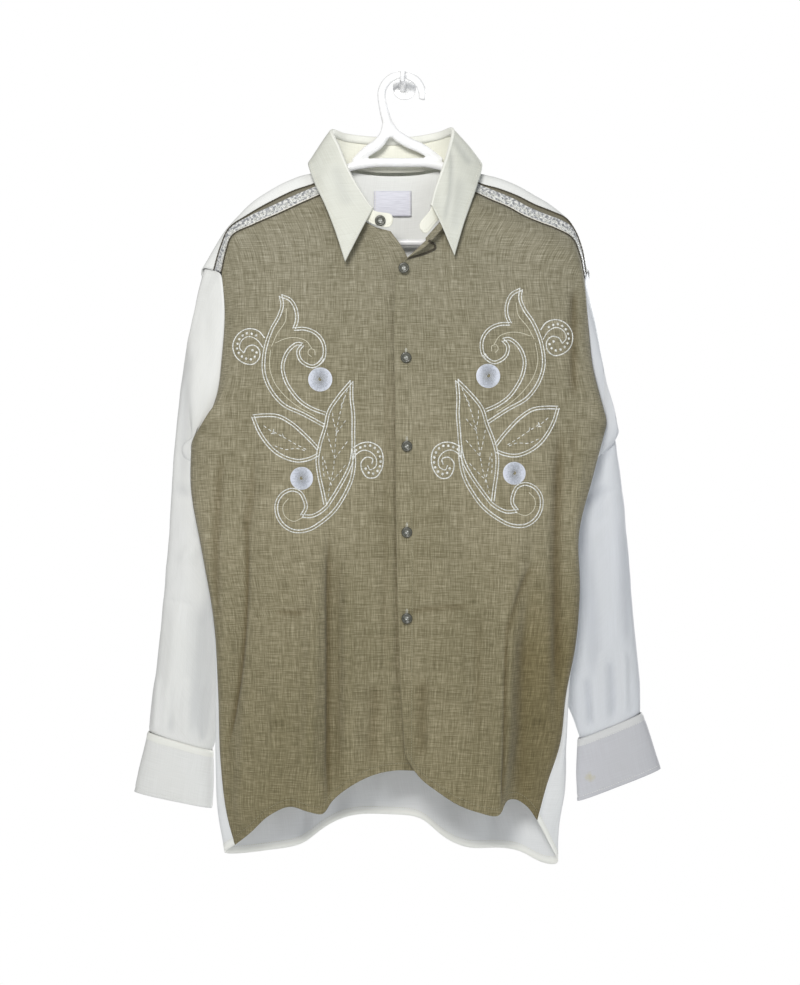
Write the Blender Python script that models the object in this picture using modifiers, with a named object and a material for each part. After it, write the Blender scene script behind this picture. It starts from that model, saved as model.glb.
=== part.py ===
# An embroidered long-sleeved shirt on a plastic hanger, hung from a small wall hook.
# Metres, +Z up. +X is to the right of someone who faces the shirt, and the front faces -Y.
# The wall is the plane y = 0, and the origin is the centre of the back face of the hook's plate.
# Tables are in millimetres and measure from FRAME, a point below and beside that origin.

import math

import bmesh
import bpy
import numpy as np

MM = 0.001
FRAME = (-3.0, 0.0, -15.0)  # where the tables' zero lies, seen from the origin

CLOTH = 1.5  # wall of every cloth piece
TRIM_WALL = 1.6  # wall of the woven braid
SEAM = 0.45  # how far each edge stands back from its seam line
FRONT_CELLS = (18, 22)  # cells across and up each front
BACK_CELLS = (26, 22)
ARMPIT = 15 / 22  # share of each side's height, hem to shoulder, where the armhole starts
YOKE_CELLS = (28, 7)
SLEEVE_CELLS = (22, 14)
HANGER_DEPTH = -26.0  # the plane of the hanger

BUTTON_RADIUS = 6.2
PIPING_RADIUS = 1.1

# Names: right and left are the wearer's. The wearer's right is at -X.

# Side seam from the hem up to the armhole's lowest point, then the front half of the armhole.
# Columns: x, y, z
SIDE_RIGHT = [
    (-193, -50, -884), (-202, -50, -850), (-209, -51, -792), (-212, -52, -705),
    (-217, -53, -624), (-231, -52, -543), (-244, -49, -468), (-244, -42, -416),
]
ARM_FRONT_RIGHT = [
    (-244, -42, -416), (-229, -43, -399), (-215, -45, -367), (-208, -46, -317),
    (-205, -46, -266), (-209, -43, -221),
]
SIDE_LEFT = [
    (156, -52, -855), (167, -52, -814), (182, -52, -768), (189, -52, -710),
    (200, -52, -653), (205, -52, -589), (204, -51, -525), (221, -49, -456), (238, -42, -395),
]
ARM_FRONT_LEFT = [
    (238, -42, -395), (229, -43, -364), (221, -45, -333), (216, -46, -288),
    (213, -46, -254), (211, -43, -228),
]

# Back half of each armhole, from its lowest point up to the yoke's back corner.
ARM_BACK_RIGHT = [
    (-244, -42, -416), (-229, -28, -396), (-215, -17, -355), (-209, -12, -300), (-216, -11, -240),
]
ARM_BACK_LEFT = [
    (238, -42, -395), (224, -28, -376), (213, -17, -343), (207, -12, -300), (210, -11, -240),
]

# The braid between front and yoke, from the neck out to the armhole.
# Columns: low x, y, z, which is the front's top edge, and high x, y, z, the yoke's front edge
BRAID_RIGHT = [
    (-79, -43, -125, -84, -36.5, -109), (-95, -43, -132, -100, -36, -117),
    (-118, -43, -142, -126, -36, -126), (-144, -43, -154, -149, -36, -137),
    (-172, -42, -166, -179, -36, -154), (-198, -40, -180, -202, -33, -170),
    (-204, -41, -197, -211, -32, -190), (-209, -43, -221, -219, -33, -218),
]
BRAID_LEFT = [
    (70, -43, -124, 75, -36.5, -109), (84, -43, -129, 89, -36, -117),
    (104, -43, -138, 113, -36, -124), (123, -43, -146, 134, -36, -132),
    (141, -43, -156, 154, -36, -142), (160, -43, -164, 174, -36, -150),
    (179, -42, -171, 191, -35, -158), (198, -40, -182, 201, -32, -171),
    (205, -41, -198, 209, -32, -192), (211, -43, -228, 214, -33, -222),
]

# Neckline of each front, from the braid to the centre edge.
NECK_RIGHT = [(-79, -43, -125), (-66, -50, -142), (-51, -57, -158), (-32, -62, -171), (-13, -65, -177)]
NECK_LEFT = [(70, -43, -124), (61, -53, -141), (51, -62, -157), (39, -69, -172), (27, -73, -186)]

# Centre edges, from the hem up to the neck. The left front lies over the right one.
CENTRE_RIGHT = [
    (21, -60, -797), (21, -68, -714), (22, -74, -600), (21, -75, -485), (19, -74, -371),
    (17, -71, -268), (12, -67, -226), (3, -66, -200), (-13, -65, -177),
]
CENTRE_LEFT = [
    (3, -67, -775), (-1, -74, -714), (-5, -79, -599), (-7, -81, -485), (-8, -80, -371),
    (-9, -79, -269), (-6, -78, -229), (3, -79, -212), (17, -81, -203), (27, -79, -197), (27, -73, -186),
]

# Hems, from the centre edge to the side seam.
HEM_RIGHT = [
    (21, -60, -797), (-8, -62, -796), (-31, -66, -800), (-60, -74, -813), (-80, -77, -829),
    (-91, -86, -842), (-105, -88, -839), (-127, -82, -834), (-151, -76, -845),
    (-174, -66, -867), (-193, -50, -884),
]
HEM_LEFT = [
    (3, -67, -775), (9, -69, -787), (21, -73, -803), (41, -78, -818), (64, -83, -832),
    (88, -88, -840), (108, -90, -843), (121, -74, -828), (131, -66, -829), (143, -61, -837),
    (156, -52, -855),
]
HEM_BACK = [
    (-193, -50, -884), (-206, -46, -893), (-205, -38, -896), (-154, -28, -894), (-113, -24, -886),
    (-94, -18, -871), (-67, -14, -858), (-8, -12, -856), (21, -14, -858), (50, -20, -882),
    (80, -26, -893), (109, -24, -892), (138, -28, -895), (163, -34, -908), (182, -42, -908),
    (172, -49, -886), (156, -52, -855),
]

# How the back turns in from each side seam.
# Columns: along the panel from the seam in mm, share of the outward swell, share of the seam's depth
SIDE_TURN = [
    (0, 0.0, 1.0), (6, 0.75, 0.95), (14, 1.0, 0.9), (26, 0.8, 0.84), (50, 0.3, 0.72),
    (80, 0.0, 0.5), (110, 0.0, 0.26), (145, 0.0, 0.08), (180, 0.0, 0.0),
]
# How far the back swells out past the front's edge. Columns: z, wearer's right, wearer's left
SWELL = [
    (-900, 13, 26), (-800, 9, 20), (-700, 6, 15), (-640, 6, 7), (-600, 4, 2),
    (-540, 0, 5), (-480, 0, 5), (-430, 0, 2), (-400, 0, 0), (-100, 0, 0),
]
BACK_DEPTH = -13.0

# Columns of the yoke, from the wearer's right armhole over both shoulders to the left one.
# Columns: front edge x, y, z; ridge x, y, z; back seam x, y, z
YOKE = [
    (-219, -33, -218, -234, -26, -214, -216, -11, -240),
    (-211, -32, -190, -218, -27, -185, -200, -11, -240),
    (-202, -33, -170, -204, -28, -163, -182, -11, -240),
    (-179, -36, -154, -174, -29, -131, -152, -11, -240),
    (-149, -36, -137, -143, -29, -112, -122, -11, -240),
    (-126, -36, -126, -121, -29, -101, -98, -11.5, -240),
    (-100, -36, -117, -102, -27, -97.5, -80, -12, -240),
    (-84, -36.5, -109, -91, -26, -95.5, -66, -12, -240),
    (-87, -25, -95, -84, -15, -101, -55, -12, -240),
    (-67, -17, -99, -60, -12.5, -138, -42, -12, -240),
    (-38, -13.5, -104, -36, -11.5, -148, -26, -12, -240),
    (-10, -13, -105, -10, -11.5, -150, -8, -12, -240),
    (20, -13.5, -104, 18, -11.5, -148, 12, -12, -240),
    (46, -17, -99, 42, -12.5, -138, 30, -12, -240),
    (73, -25, -95, 70, -15, -101, 46, -12, -240),
    (75, -36.5, -109, 79, -26, -95.5, 58, -12, -240),
    (89, -36, -117, 91, -27, -98.5, 72, -12, -240),
    (113, -36, -124, 111, -29, -103, 90, -11.5, -240),
    (134, -36, -132, 131, -29, -111, 110, -11, -240),
    (154, -36, -142, 151, -29, -122, 130, -11, -240),
    (174, -36, -150, 171, -29, -136, 150, -11, -240),
    (191, -35, -158, 190, -28, -150, 166, -11, -240),
    (201, -32, -171, 203, -27, -168, 182, -11, -240),
    (209, -32, -192, 211, -27, -188, 196, -11, -240),
    (214, -33, -222, 218, -26, -217, 210, -11, -240),
]

# Each sleeve below its armhole. Columns: outer x, y, z; inner x, y, z; front y; back y; bow in x
SLEEVE_RIGHT = [
    (-243, -26, -252, -259, -34, -425, -44, -9, 25),
    (-252, -24, -302, -251, -31, -440, -40, -7, 8),
    (-259, -22, -356, -231, -26, -458, -36, -6, 0),
    (-265, -21, -412, -202, -21, -484, -34, -5, -2),
    (-270, -20, -474, -176, -15, -514, -34, -5, 0),
    (-275, -19, -544, -162, -13, -566, -33, -5, 0),
    (-280, -18, -612, -168, -13, -628, -33, -5, 0),
    (-288, -18, -688, -190, -15, -704, -34, -5, 0),
    (-294, -18, -733, -212, -17, -752, -33, -5, 0),
    (-296, -18, -756, -223, -18, -778, -31, -6, 0),
]
SLEEVE_LEFT = [
    (224, -26, -264, 254, -34, -405, -44, -9, -4),
    (232, -25, -333, 246, -31, -420, -40, -7, -7),
    (242, -24, -376, 224, -26, -440, -36, -6, 0),
    (250, -22, -420, 196, -21, -470, -34, -5, 2),
    (257, -21, -470, 172, -15, -505, -34, -5, 0),
    (264, -20, -535, 158, -13, -558, -33, -5, 0),
    (270, -18, -603, 160, -13, -622, -33, -5, 0),
    (276, -18, -672, 180, -15, -694, -34, -5, 0),
    (279, -18, -712, 200, -17, -738, -33, -5, 0),
    (279, -18, -734, 209, -18, -764, -31, -6, 0),
]

# Cuffs, each a band that closes on the wall's side. Columns: top outer x, z; top inner x, z; bottom the same
CUFF_RIGHT = [(-298, -756.7, -221, -779.1), (-306, -795, -221, -815), (-313, -827, -223, -846)]
CUFF_LEFT = [(281, -734.7, 207, -765.1), (293, -770, 205, -803), (303, -800, 206, -838)]
CUFF_DEPTH = (-32.5, -6.5)  # front and back of the band
CUFF_OVERLAP = 0.09  # share of the band's length that lies double

# The collar from the wearer's right front end round the neck to the left one.
# Columns: base x, y, z; fold x, y, z
STAND = [
    (-12, -68.5, -175, -9, -69, -157), (-33, -65.5, -169, -33, -67, -153),
    (-51, -59.5, -156, -45, -62, -137), (-66, -52, -140, -60, -56, -111),
    (-78, -42, -119, -73, -48, -79), (-83, -31, -93.5, -81, -36, -57),
    (-68, -19.5, -95, -67, -20, -58), (-38, -16, -100, -34, -14.5, -61),
    (-10, -15.5, -101, -10, -14, -61.5),
    (18, -16, -100, 12, -14.5, -61), (49, -18.5, -95, 44, -19, -56), (67, -31, -93.5, 58, -36, -55),
    (68, -42, -116, 54, -49, -84), (61, -51.5, -136, 48, -56, -104), (50, -60, -154, 38, -64, -134),
    (38, -68.5, -168.5, 34, -70.5, -150), (27, -75, -184, 17, -76, -172),
]
# Columns: fold x, y, z; outer edge x, y, z
LEAF = [
    (-34, -69.1, -152.8, -65, -72, -213), (-46, -64.1, -136.4, -78, -67, -173),
    (-61.2, -57.9, -110.5, -89, -60, -145),
    (-75.0, -49.5, -78.3, -101, -50, -119), (-83.7, -36.9, -55.9, -109, -33, -92),
    (-68.3, -18.2, -57, -93, -7, -97),
    (-34.4, -12.4, -60, -42, -5.5, -112), (-10, -11.9, -60.4, -10, -5, -114),
    (12.2, -12.4, -60, 22, -5.5, -112),
    (45.2, -17.2, -55, 73, -7, -97), (60.2, -36.4, -54.2, 93, -33, -93),
    (55.8, -50.2, -83.4, 87, -50, -121),
    (49.2, -57.9, -103.5, 79, -60, -145), (39, -66.1, -133.4, 72, -67, -165),
    (34.8, -72.6, -149.8, 60, -74, -206),
]

# Folds of the fronts. Columns: top x, z; bottom x, z; half width; push towards the viewer at full depth
FOLDS_RIGHT = [
    (-92, -500, -107, -800, 13, 5), (-78, -510, -78, -800, 10, -7),
    (-168, -410, -200, -740, 16, -5), (-40, -640, -52, -790, 24, 3),
]
FOLDS_LEFT = [
    (130, -520, 110, -800, 15, 6), (146, -540, 129, -800, 11, -8),
    (46, -470, 44, -640, 20, 3), (184, -400, 178, -700, 13, -5),
]

# Buttons. The first is on the collar's stand, the others go down the left front.
# Columns: x, z, how far the back stands off the cloth's face
BUTTONS = [
    (-25, -165.5, 0.35), (2, -221, 1.6), (4.5, -323, 0.35), (5.5, -424, 0.35),
    (5.5, -522, 0.35), (5.5, -620, 0.35),
]

# The hanger's flat ring: beam, rounded ends and lower bar. Columns: x, z, half height
HANGER_RING = [
    (0, -91, 5.6), (34, -92, 5.5), (50, -96.5, 5.2), (62, -102.5, 5.0), (80, -111.5, 4.8),
    (108, -117.5, 4.8), (139, -130, 4.6),
    (164, -148, 4.5), (180, -158, 4.5), (184, -169, 4.5), (180, -180, 4.5), (166, -184, 4.5),
    (80, -184.5, 4.4), (0, -184.5, 4.4), (-90, -184.5, 4.4), (-172, -184, 4.5), (-184, -180, 4.5),
    (-188, -170, 4.5), (-184, -161, 4.5), (-172, -151, 4.5), (-142, -129, 4.6), (-120, -118, 4.8),
    (-89, -108.5, 4.9), (-74, -101.5, 5.0), (-60, -96, 5.2), (-36, -91.5, 5.5),
]
# The stem and hook, from the fork up. Columns: x, z, half width
HANGER_STEM = [(-11.5, -61, 5.6), (-14.5, -52, 6.0), (-18, -41, 5.9), (-21, -30, 5.4)]
HOOK_CENTRE = (0.0, -12.3)
HOOK_RADIUS = 24.0
HOOK_ROD = 4.9
HOOK_START = 190  # degrees round the loop
HOOK_END = -12
# The two legs of the fork, from the stem down to the beam. Columns: x, z, half width
HANGER_STRUTS = [
    [(-19, -46, 4.6), (-20.5, -58, 6.0), (-27, -68, 6.6), (-41, -78, 6.4), (-56, -91, 5.0)],
    [(-14, -46, 4.6), (-9, -56, 6.0), (3, -65, 6.4), (24, -75, 6.0), (46, -90, 5.0)],
]
HANGER_FLAT = 0.8  # depth of the rod as a share of its height

PLATE_SIZE = (27.0, 3.0, 53.0)
PLATE_CENTRE = (3.0, -1.5, 15.0)
PLATE_CORNER = 12.5  # radius of its rounded corners
# The prong. Columns: y, z, radius
PRONG = [(-1.5, 0.0, 4.5), (-9, 2.0, 3.8), (-17, 3.2, 3.4), (-26, 3.25, 3.2), (-33, 4.8, 3.2),
         (-37, 9, 3.0), (-38.5, 15, 2.5), (-39, 21, 1.3)]
PRONG_X = 0.6


def curve_through(rows):
    """A smooth curve through the rows: a function of the share of its chord length, 0 to 1."""
    points = np.array(rows, float)
    steps = np.linalg.norm(np.diff(points, axis=0), axis=1)
    knots = np.concatenate([[0.0], np.cumsum(steps)])
    knots = knots / knots[-1]
    slopes = np.empty_like(points)
    chords = np.diff(points, axis=0) / np.diff(knots)[:, None]
    slopes[0] = chords[0]
    slopes[-1] = chords[-1]
    before = np.diff(knots)[:-1, None]
    after = np.diff(knots)[1:, None]
    slopes[1:-1] = (chords[:-1] * after + chords[1:] * before) / (before + after)

    def at(share):
        share = np.clip(np.atleast_1d(np.asarray(share, float)), 0.0, 1.0)
        cell = np.clip(np.searchsorted(knots, share, side="right") - 1, 0, len(knots) - 2)
        width = knots[cell + 1] - knots[cell]
        t = ((share - knots[cell]) / width)[:, None]
        start, end = points[cell], points[cell + 1]
        lean_start = slopes[cell] * width[:, None]
        lean_end = slopes[cell + 1] * width[:, None]
        return (
            (2 * t**3 - 3 * t**2 + 1) * start
            + (t**3 - 2 * t**2 + t) * lean_start
            + (3 * t**2 - 2 * t**3) * end
            + (t**3 - t**2) * lean_end
        )

    return at


def joined(*tables):
    """Tables put end to end, each leaving out its first row after the first table."""
    rows = list(tables[0])
    for table in tables[1:]:
        rows += list(table[1:])
    return rows


def seam_up(side, arm):
    """The whole side of a panel: the side seam up to ARMPIT, then its half of the armhole."""
    side_at = curve_through(side)
    arm_at = curve_through(arm)

    def at(share):
        share = np.atleast_1d(np.asarray(share, float))
        lower = side_at(share / ARMPIT)
        upper = arm_at((share - ARMPIT) / (1 - ARMPIT))
        return np.where(share[:, None] <= ARMPIT, lower, upper)

    return at


def straight_through(rows):
    """The same as curve_through, with straight steps from row to row."""
    points = np.array(rows, float)
    steps = np.linalg.norm(np.diff(points, axis=0), axis=1)
    knots = np.concatenate([[0.0], np.cumsum(steps)])
    knots = knots / knots[-1]
    return lambda share: np.stack([np.interp(share, knots, points[:, axis]) for axis in range(3)], axis=-1)


def low(braid):
    return [row[:3] for row in braid]


def high(braid):
    return [row[3:] for row in braid]


def folded(points, folds):
    """Adds each fold to a grid of points, growing from its top."""
    for top_x, top_z, bottom_x, bottom_z, width, push in folds:
        along = (points[..., 2] - top_z) / (bottom_z - top_z)
        line = top_x + np.clip(along, -0.3, 1.3) * (bottom_x - top_x)
        grown = np.clip((along + 0.15) / 0.5, 0.0, 1.0)
        grown = grown * grown * (3 - 2 * grown)
        across = (points[..., 0] - line) / width
        points[..., 1] -= push * grown * np.exp(-across * across)
    return points


def front_points(centre, hem, side, arm, braid, neck, folds, cells):
    """The grid of one front: rows from hem to top, columns from the centre edge to the side."""
    centre_at = curve_through(centre)
    side_at = seam_up(side, arm)
    hem_at = curve_through(hem)
    top_at = curve_through(joined(list(reversed(neck)), low(braid)))
    across = np.linspace(0, 1, cells[0] + 1)
    across = 0.82 * across + 0.18 * np.sin(across * math.pi / 2)
    up = np.linspace(0, 1, cells[1] + 1)
    round_side = (1 - across**2.6) ** (1 / 2.6)
    grid = np.empty((len(up), len(across), 3))
    bottom_row = hem_at(across)
    top_row = top_at(across)

    def section(height):
        start = centre_at(height)[0]
        end = side_at(height)[0]
        row = start + (end - start) * across[:, None]
        row[:, 1] = end[1] + (start[1] - end[1]) * round_side
        return row

    bottom_gap = bottom_row - section(0.0)
    top_gap = top_row - section(1.0)
    for index, height in enumerate(up):
        row = section(height)
        row[:, (0, 2)] += (1 - height) * bottom_gap[:, (0, 2)] + height * top_gap[:, (0, 2)]
        row[:, 1] += (1 - height) ** 3 * bottom_gap[:, 1] + height**6 * top_gap[:, 1]
        grid[index] = row
    inside = np.clip(np.minimum(across, 1 - across) / 0.12, 0, 1)
    below = np.clip(up / 0.1, 0.25, 1)[:, None]
    plain = grid.copy()
    grid = folded(grid, folds)
    grid[..., 1] = plain[..., 1] + (grid[..., 1] - plain[..., 1]) * inside[None, :] * below
    return grid


def back_points(cells):
    """The grid of the back: rows from the hem to the yoke, columns from the wearer's right seam."""
    right_at = seam_up(SIDE_RIGHT, ARM_BACK_RIGHT)
    left_at = seam_up(SIDE_LEFT, ARM_BACK_LEFT)
    hem_at = curve_through(HEM_BACK)
    top_at = curve_through([row[6:] for row in YOKE])
    half = cells[0] // 2
    share = np.linspace(0, 1, half + 1) ** 1.5
    turn = np.array(SIDE_TURN, float)
    swell = np.array(SWELL, float)
    across = np.concatenate([share * 0.5, 1 - share[:-1][::-1] * 0.5])
    up = np.linspace(0, 1, cells[1] + 1)

    def section(height):
        right = right_at(height)[0]
        left = left_at(height)[0]
        middle = (right[0] + left[0]) / 2
        row = np.empty((len(across), 3))
        for index, place in enumerate(across):
            on_right = place <= 0.5
            seam = right if on_right else left
            inward = 1 if on_right else -1
            part = 2 * min(place, 1 - place)
            out = np.interp(seam[2], swell[:, 0], swell[:, 1 if on_right else 2])
            reach = abs(middle - seam[0]) + out
            along = part * reach
            shift = np.interp(along, turn[:, 0], turn[:, 1]) * out
            depth = np.interp(along, turn[:, 0], turn[:, 2])
            row[index, 0] = seam[0] + inward * (part * abs(middle - seam[0]) - shift)
            row[index, 1] = BACK_DEPTH + (seam[1] - BACK_DEPTH) * depth
            row[index, 2] = right[2] + (left[2] - right[2]) * place
        return row

    bottom_gap = hem_at(across) - section(0.0)
    top_gap = top_at(across) - section(1.0)
    grid = np.empty((len(up), len(across), 3))
    for index, height in enumerate(up):
        row = section(height)
        row[:, 2] += (1 - height) * bottom_gap[:, 2] + height * top_gap[:, 2]
        row[:, 0] += (1 - height) ** 2 * bottom_gap[:, 0] + height**2 * top_gap[:, 0]
        row[:, 1] += (1 - height) ** 2 * bottom_gap[:, 1] + height**3 * top_gap[:, 1]
        grid[index] = row
    return grid


def yoke_points(cells):
    """The grid of the yoke: rows from its front and neck edge to its back seam."""
    table = np.array(YOKE, float)
    place = np.linspace(0, len(table) - 1, cells[0] + 1)
    columns = np.stack([np.interp(place, np.arange(len(table)), table[:, k]) for k in range(9)], axis=1)
    grid = np.empty((cells[1] + 1, cells[0] + 1, 3))
    for index, row in enumerate(columns):
        behind = row[3:6] + 0.12 * (row[6:9] - row[3:6])
        behind[1] = row[7] - 2.0
        behind[2] = min(row[5] - 19.0, behind[2])
        if row[4] > -20:
            behind = (row[3:6] + row[6:9]) / 2
        over = curve_through([row[0:3], row[3:6], behind, row[6:9]])
        share = np.linspace(0, 1, cells[1] + 1) ** 1.35
        grid[:, index] = over(share)
    grid[..., 1] = np.minimum(grid[..., 1], -10.8)
    return grid


def armhole(side_arm, braid, yoke_row, back_arm):
    """The closed seam line round one armhole, in two halves that start at the shoulder's ridge."""
    ridge = tuple(yoke_row[3:6])
    down = np.linspace(1, 0, 40)
    front = [ridge, braid[-1][3:]] + list(curve_through(side_arm)(down))
    back = [ridge] + list(curve_through(back_arm)(down))
    return straight_through(front), straight_through(back)


def sleeve_points(loops, rows, cells, gap):
    """Rings of one sleeve from the armhole to the cuff. Each ring starts at the outer line."""
    front_at, back_at = loops
    around = cells[0]
    half = around // 2
    share = np.linspace(0, 1, half + 1)
    ring = np.concatenate([front_at(share), back_at(1 - share[1:-1])])[:around]
    angle = np.linspace(0, 2 * math.pi, around, endpoint=False)
    cosine = np.sign(np.cos(angle)) * np.abs(np.cos(angle)) ** 0.8
    sine = np.sign(np.sin(angle)) * np.abs(np.sin(angle)) ** 0.8
    rings = [ring]
    for row in rows:
        outer = np.array(row[0:3], float)
        inner = np.array(row[3:6], float)
        front, back, bow = row[6], row[7], row[8]
        middle = (outer + inner) / 2
        points = middle + np.outer(cosine, (outer - inner) / 2)
        centre_y = (front + back) / 2
        lens = np.abs(sine)
        points[:, 1] += (centre_y - middle[1]) * lens + sine * (front - back) / 2
        points[:, 0] += bow * lens
        rings.append(points)
    rings = np.array(rings)
    along = np.roll(ring, -1, axis=0) - np.roll(ring, 1, axis=0)
    along /= np.linalg.norm(along, axis=1, keepdims=True)
    away = rings[1] - ring
    away -= np.sum(away * along, axis=1, keepdims=True) * along
    away /= np.linalg.norm(away, axis=1, keepdims=True)
    outward = np.array([math.copysign(1.0, ring[0, 0]), 0.0, 0.0])
    outward = outward - (along @ outward)[:, None] * along
    outward /= np.linalg.norm(outward, axis=1, keepdims=True)
    near_armpit = np.exp(-(((np.arange(around) - half) / 2.6) ** 2))[:, None]
    away = away * (1 - near_armpit) + outward * near_armpit
    rings[0] = ring + away * gap * (1 + 1.4 * near_armpit)
    rings[0][:, 1] += 2.4 * near_armpit[:, 0]
    paths = [curve_through(rings[:, k]) for k in range(around)]
    down = np.linspace(0, 1, cells[1] + 1)
    return np.stack([path(down) for path in paths], axis=1)


def cuff_points(rows, cells, overlap):
    """A band whose ends lie over each other on the wall's side."""
    share = np.linspace(0, 1 + overlap, cells[0] + 1)
    angle = share * 2 * math.pi
    front, back = CUFF_DEPTH
    cosine = -np.sign(np.sin(angle)) * np.abs(np.sin(angle)) ** 0.75
    sine = -np.sign(np.cos(angle)) * np.abs(np.cos(angle)) ** 0.75
    lift = np.clip((share - (1 - 0.12)) / 0.12, 0, 1) * 2.4
    grid = np.empty((len(rows), len(angle), 3))
    for index, (outer_x, outer_z, inner_x, inner_z) in enumerate(rows):
        middle = ((outer_x + inner_x) / 2, (outer_z + inner_z) / 2)
        reach = ((outer_x - inner_x) / 2, (outer_z - inner_z) / 2)
        grid[index, :, 0] = middle[0] + cosine * reach[0]
        grid[index, :, 2] = middle[1] + cosine * reach[1]
        grid[index, :, 1] = (front + back) / 2 - sine * (back - front) / 2 + lift
    return grid


def between(table, count_across, count_up, start=0.0, end=1.0):
    """A strip between two lines: rows from the first line to the second."""
    table = np.array(table, float)
    first = curve_through(table[:, 0:3])
    second = curve_through(table[:, 3:6])
    share = np.linspace(start, end, count_across + 1)
    rise = np.linspace(0, 1, count_up + 1)[:, None, None]
    return first(share)[None] * (1 - rise) + second(share)[None] * rise


def pulled_back(points, bottom=0.0, top=0.0, start=0.0, end=0.0):
    """Moves each edge of a grid in from its seam line by the given distance."""
    points = points.copy()
    for amount, edge, inner in ((bottom, 0, 1), (top, -1, -2)):
        step = points[inner] - points[edge]
        points[edge] += amount * step / np.linalg.norm(step, axis=1, keepdims=True)
    for amount, edge, inner in ((start, 0, 1), (end, -1, -2)):
        step = points[:, inner] - points[:, edge]
        points[:, edge] += np.reshape(amount, (-1, 1)) * step / np.linalg.norm(step, axis=1, keepdims=True)
    return points


def normals_of(points, closed=False):
    """Unit normals of a grid, from the cross product of its two directions."""
    if closed:
        across = np.roll(points, -1, axis=1) - np.roll(points, 1, axis=1)
    else:
        across = np.gradient(points, axis=1)
    up = np.gradient(points, axis=0)
    normal = np.cross(across, up)
    return normal / np.maximum(np.linalg.norm(normal, axis=2, keepdims=True), 1e-9)


def depth_at(points, x, z):
    """The grid's depth in y where the line through x and z along y meets it, or None."""
    rows, columns = points.shape[:2]
    for r in range(rows - 1):
        for c in range(columns - 1):
            a, b = points[r, c], points[r, c + 1]
            d, e = points[r + 1, c + 1], points[r + 1, c]
            for first, second, third in ((a, b, d), (a, d, e)):
                spread = np.array([[second[0] - first[0], third[0] - first[0]],
                                   [second[2] - first[2], third[2] - first[2]]])
                if abs(np.linalg.det(spread)) < 1e-9:
                    continue
                s, t = np.linalg.solve(spread, [x - first[0], z - first[2]])
                if s >= -1e-6 and t >= -1e-6 and s + t <= 1 + 1e-6:
                    return first[1] + s * (second[1] - first[1]) + t * (third[1] - first[1])
    return None


def button_depth(points, x, z, gap):
    """Depth of a button's back: just clear of the cloth's face anywhere under its rim."""
    found = []
    for step in range(9):
        angle = step * math.pi / 4
        reach = 0.0 if step == 8 else BUTTON_RADIUS
        depth = depth_at(points, x + reach * math.cos(angle), z + reach * math.sin(angle))
        if depth is not None:
            found.append(depth)
    return min(found) - CLOTH / 2 - gap


def clear_scene():
    for thing in list(bpy.data.objects):
        bpy.data.objects.remove(thing, do_unlink=True)


def collection_named(name):
    made = bpy.data.collections.new(name)
    bpy.context.scene.collection.children.link(made)
    return made


def material(name, colour, roughness):
    made = bpy.data.materials.new(name)
    made.use_nodes = True
    shader = made.node_tree.nodes["Principled BSDF"]
    shader.inputs["Base Color"].default_value = (*colour, 1.0)
    shader.inputs["Roughness"].default_value = roughness
    shader.inputs["Metallic"].default_value = 0.0
    made.diffuse_color = (*colour, 1.0)
    return made


def placed(name, mesh, look, location=(0, 0, 0)):
    """A new object with one material, in the shirt's collection and under its empty."""
    thing = bpy.data.objects.new(name, mesh)
    PARTS.objects.link(thing)
    thing.parent = HOLDER
    thing.location = [value * MM for value in location]
    if not mesh.materials:
        mesh.materials.append(look)
    return thing


def sheet(name, points, look, wall=CLOTH, closed=False):
    """A cloth piece: a grid bent to the points, with its wall from Solidify."""
    rows, columns = points.shape[:2]
    shape = bmesh.new()
    if closed:
        corners = [[shape.verts.new(p * MM) for p in row] for row in points]
        for r in range(rows - 1):
            for c in range(columns):
                d = (c + 1) % columns
                shape.faces.new((corners[r][c], corners[r][d], corners[r + 1][d], corners[r + 1][c]))
    else:
        bmesh.ops.create_grid(shape, x_segments=columns - 1, y_segments=rows - 1, size=1.0)
        for corner in shape.verts:
            c = round((corner.co.x + 1) / 2 * (columns - 1))
            r = round((corner.co.y + 1) / 2 * (rows - 1))
            corner.co = points[r, c] * MM
    mesh = bpy.data.meshes.new(name)
    shape.to_mesh(mesh)
    shape.free()
    mesh.shade_smooth()
    thing = placed(name, mesh, look)
    wall_of = thing.modifiers.new("wall", "SOLIDIFY")
    wall_of.thickness = wall * MM
    wall_of.offset = 0.0
    wall_of.use_even_offset = False
    return thing


def tube(name, points, radius, look, radii=None, cyclic=False, keep=True):
    """A round tube along the points, as a curve with a bevel and filled caps."""
    data = bpy.data.curves.new(name, "CURVE")
    data.dimensions = "3D"
    data.bevel_depth = radius * MM
    data.bevel_resolution = 1
    data.use_fill_caps = True
    spline = data.splines.new("POLY")
    spline.points.add(len(points) - 1)
    spline.use_cyclic_u = cyclic
    for index, point in enumerate(points):
        spline.points[index].co = (*(np.array(point) * MM), 1.0)
        spline.points[index].radius = 1.0 if radii is None else radii[index] / radius
    thing = placed(name, data, look) if keep else bpy.data.objects.new(name, data)
    if not keep:
        CUTTERS.objects.link(thing)
    return thing


def meshed(thing, name, look, visible, flat=1.0, plane=0.0):
    """The curve object made a closed mesh, flattened in y about a plane."""
    bpy.context.view_layer.update()
    graph = bpy.context.evaluated_depsgraph_get()
    mesh = bpy.data.meshes.new_from_object(thing.evaluated_get(graph))
    mesh.name = name
    work = bmesh.new()
    work.from_mesh(mesh)
    bmesh.ops.remove_doubles(work, verts=work.verts, dist=1e-6)
    for corner in work.verts:
        corner.co.y = plane * MM + (corner.co.y - plane * MM) * flat
    bmesh.ops.recalc_face_normals(work, faces=work.faces)
    work.to_mesh(mesh)
    work.free()
    mesh.shade_smooth()
    bpy.data.objects.remove(thing, do_unlink=True)
    if visible:
        return placed(name, mesh, look)
    made = bpy.data.objects.new(name, mesh)
    CUTTERS.objects.link(made)
    made.parent = HOLDER
    made.hide_render = True
    made.display_type = "WIRE"
    return made


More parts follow.
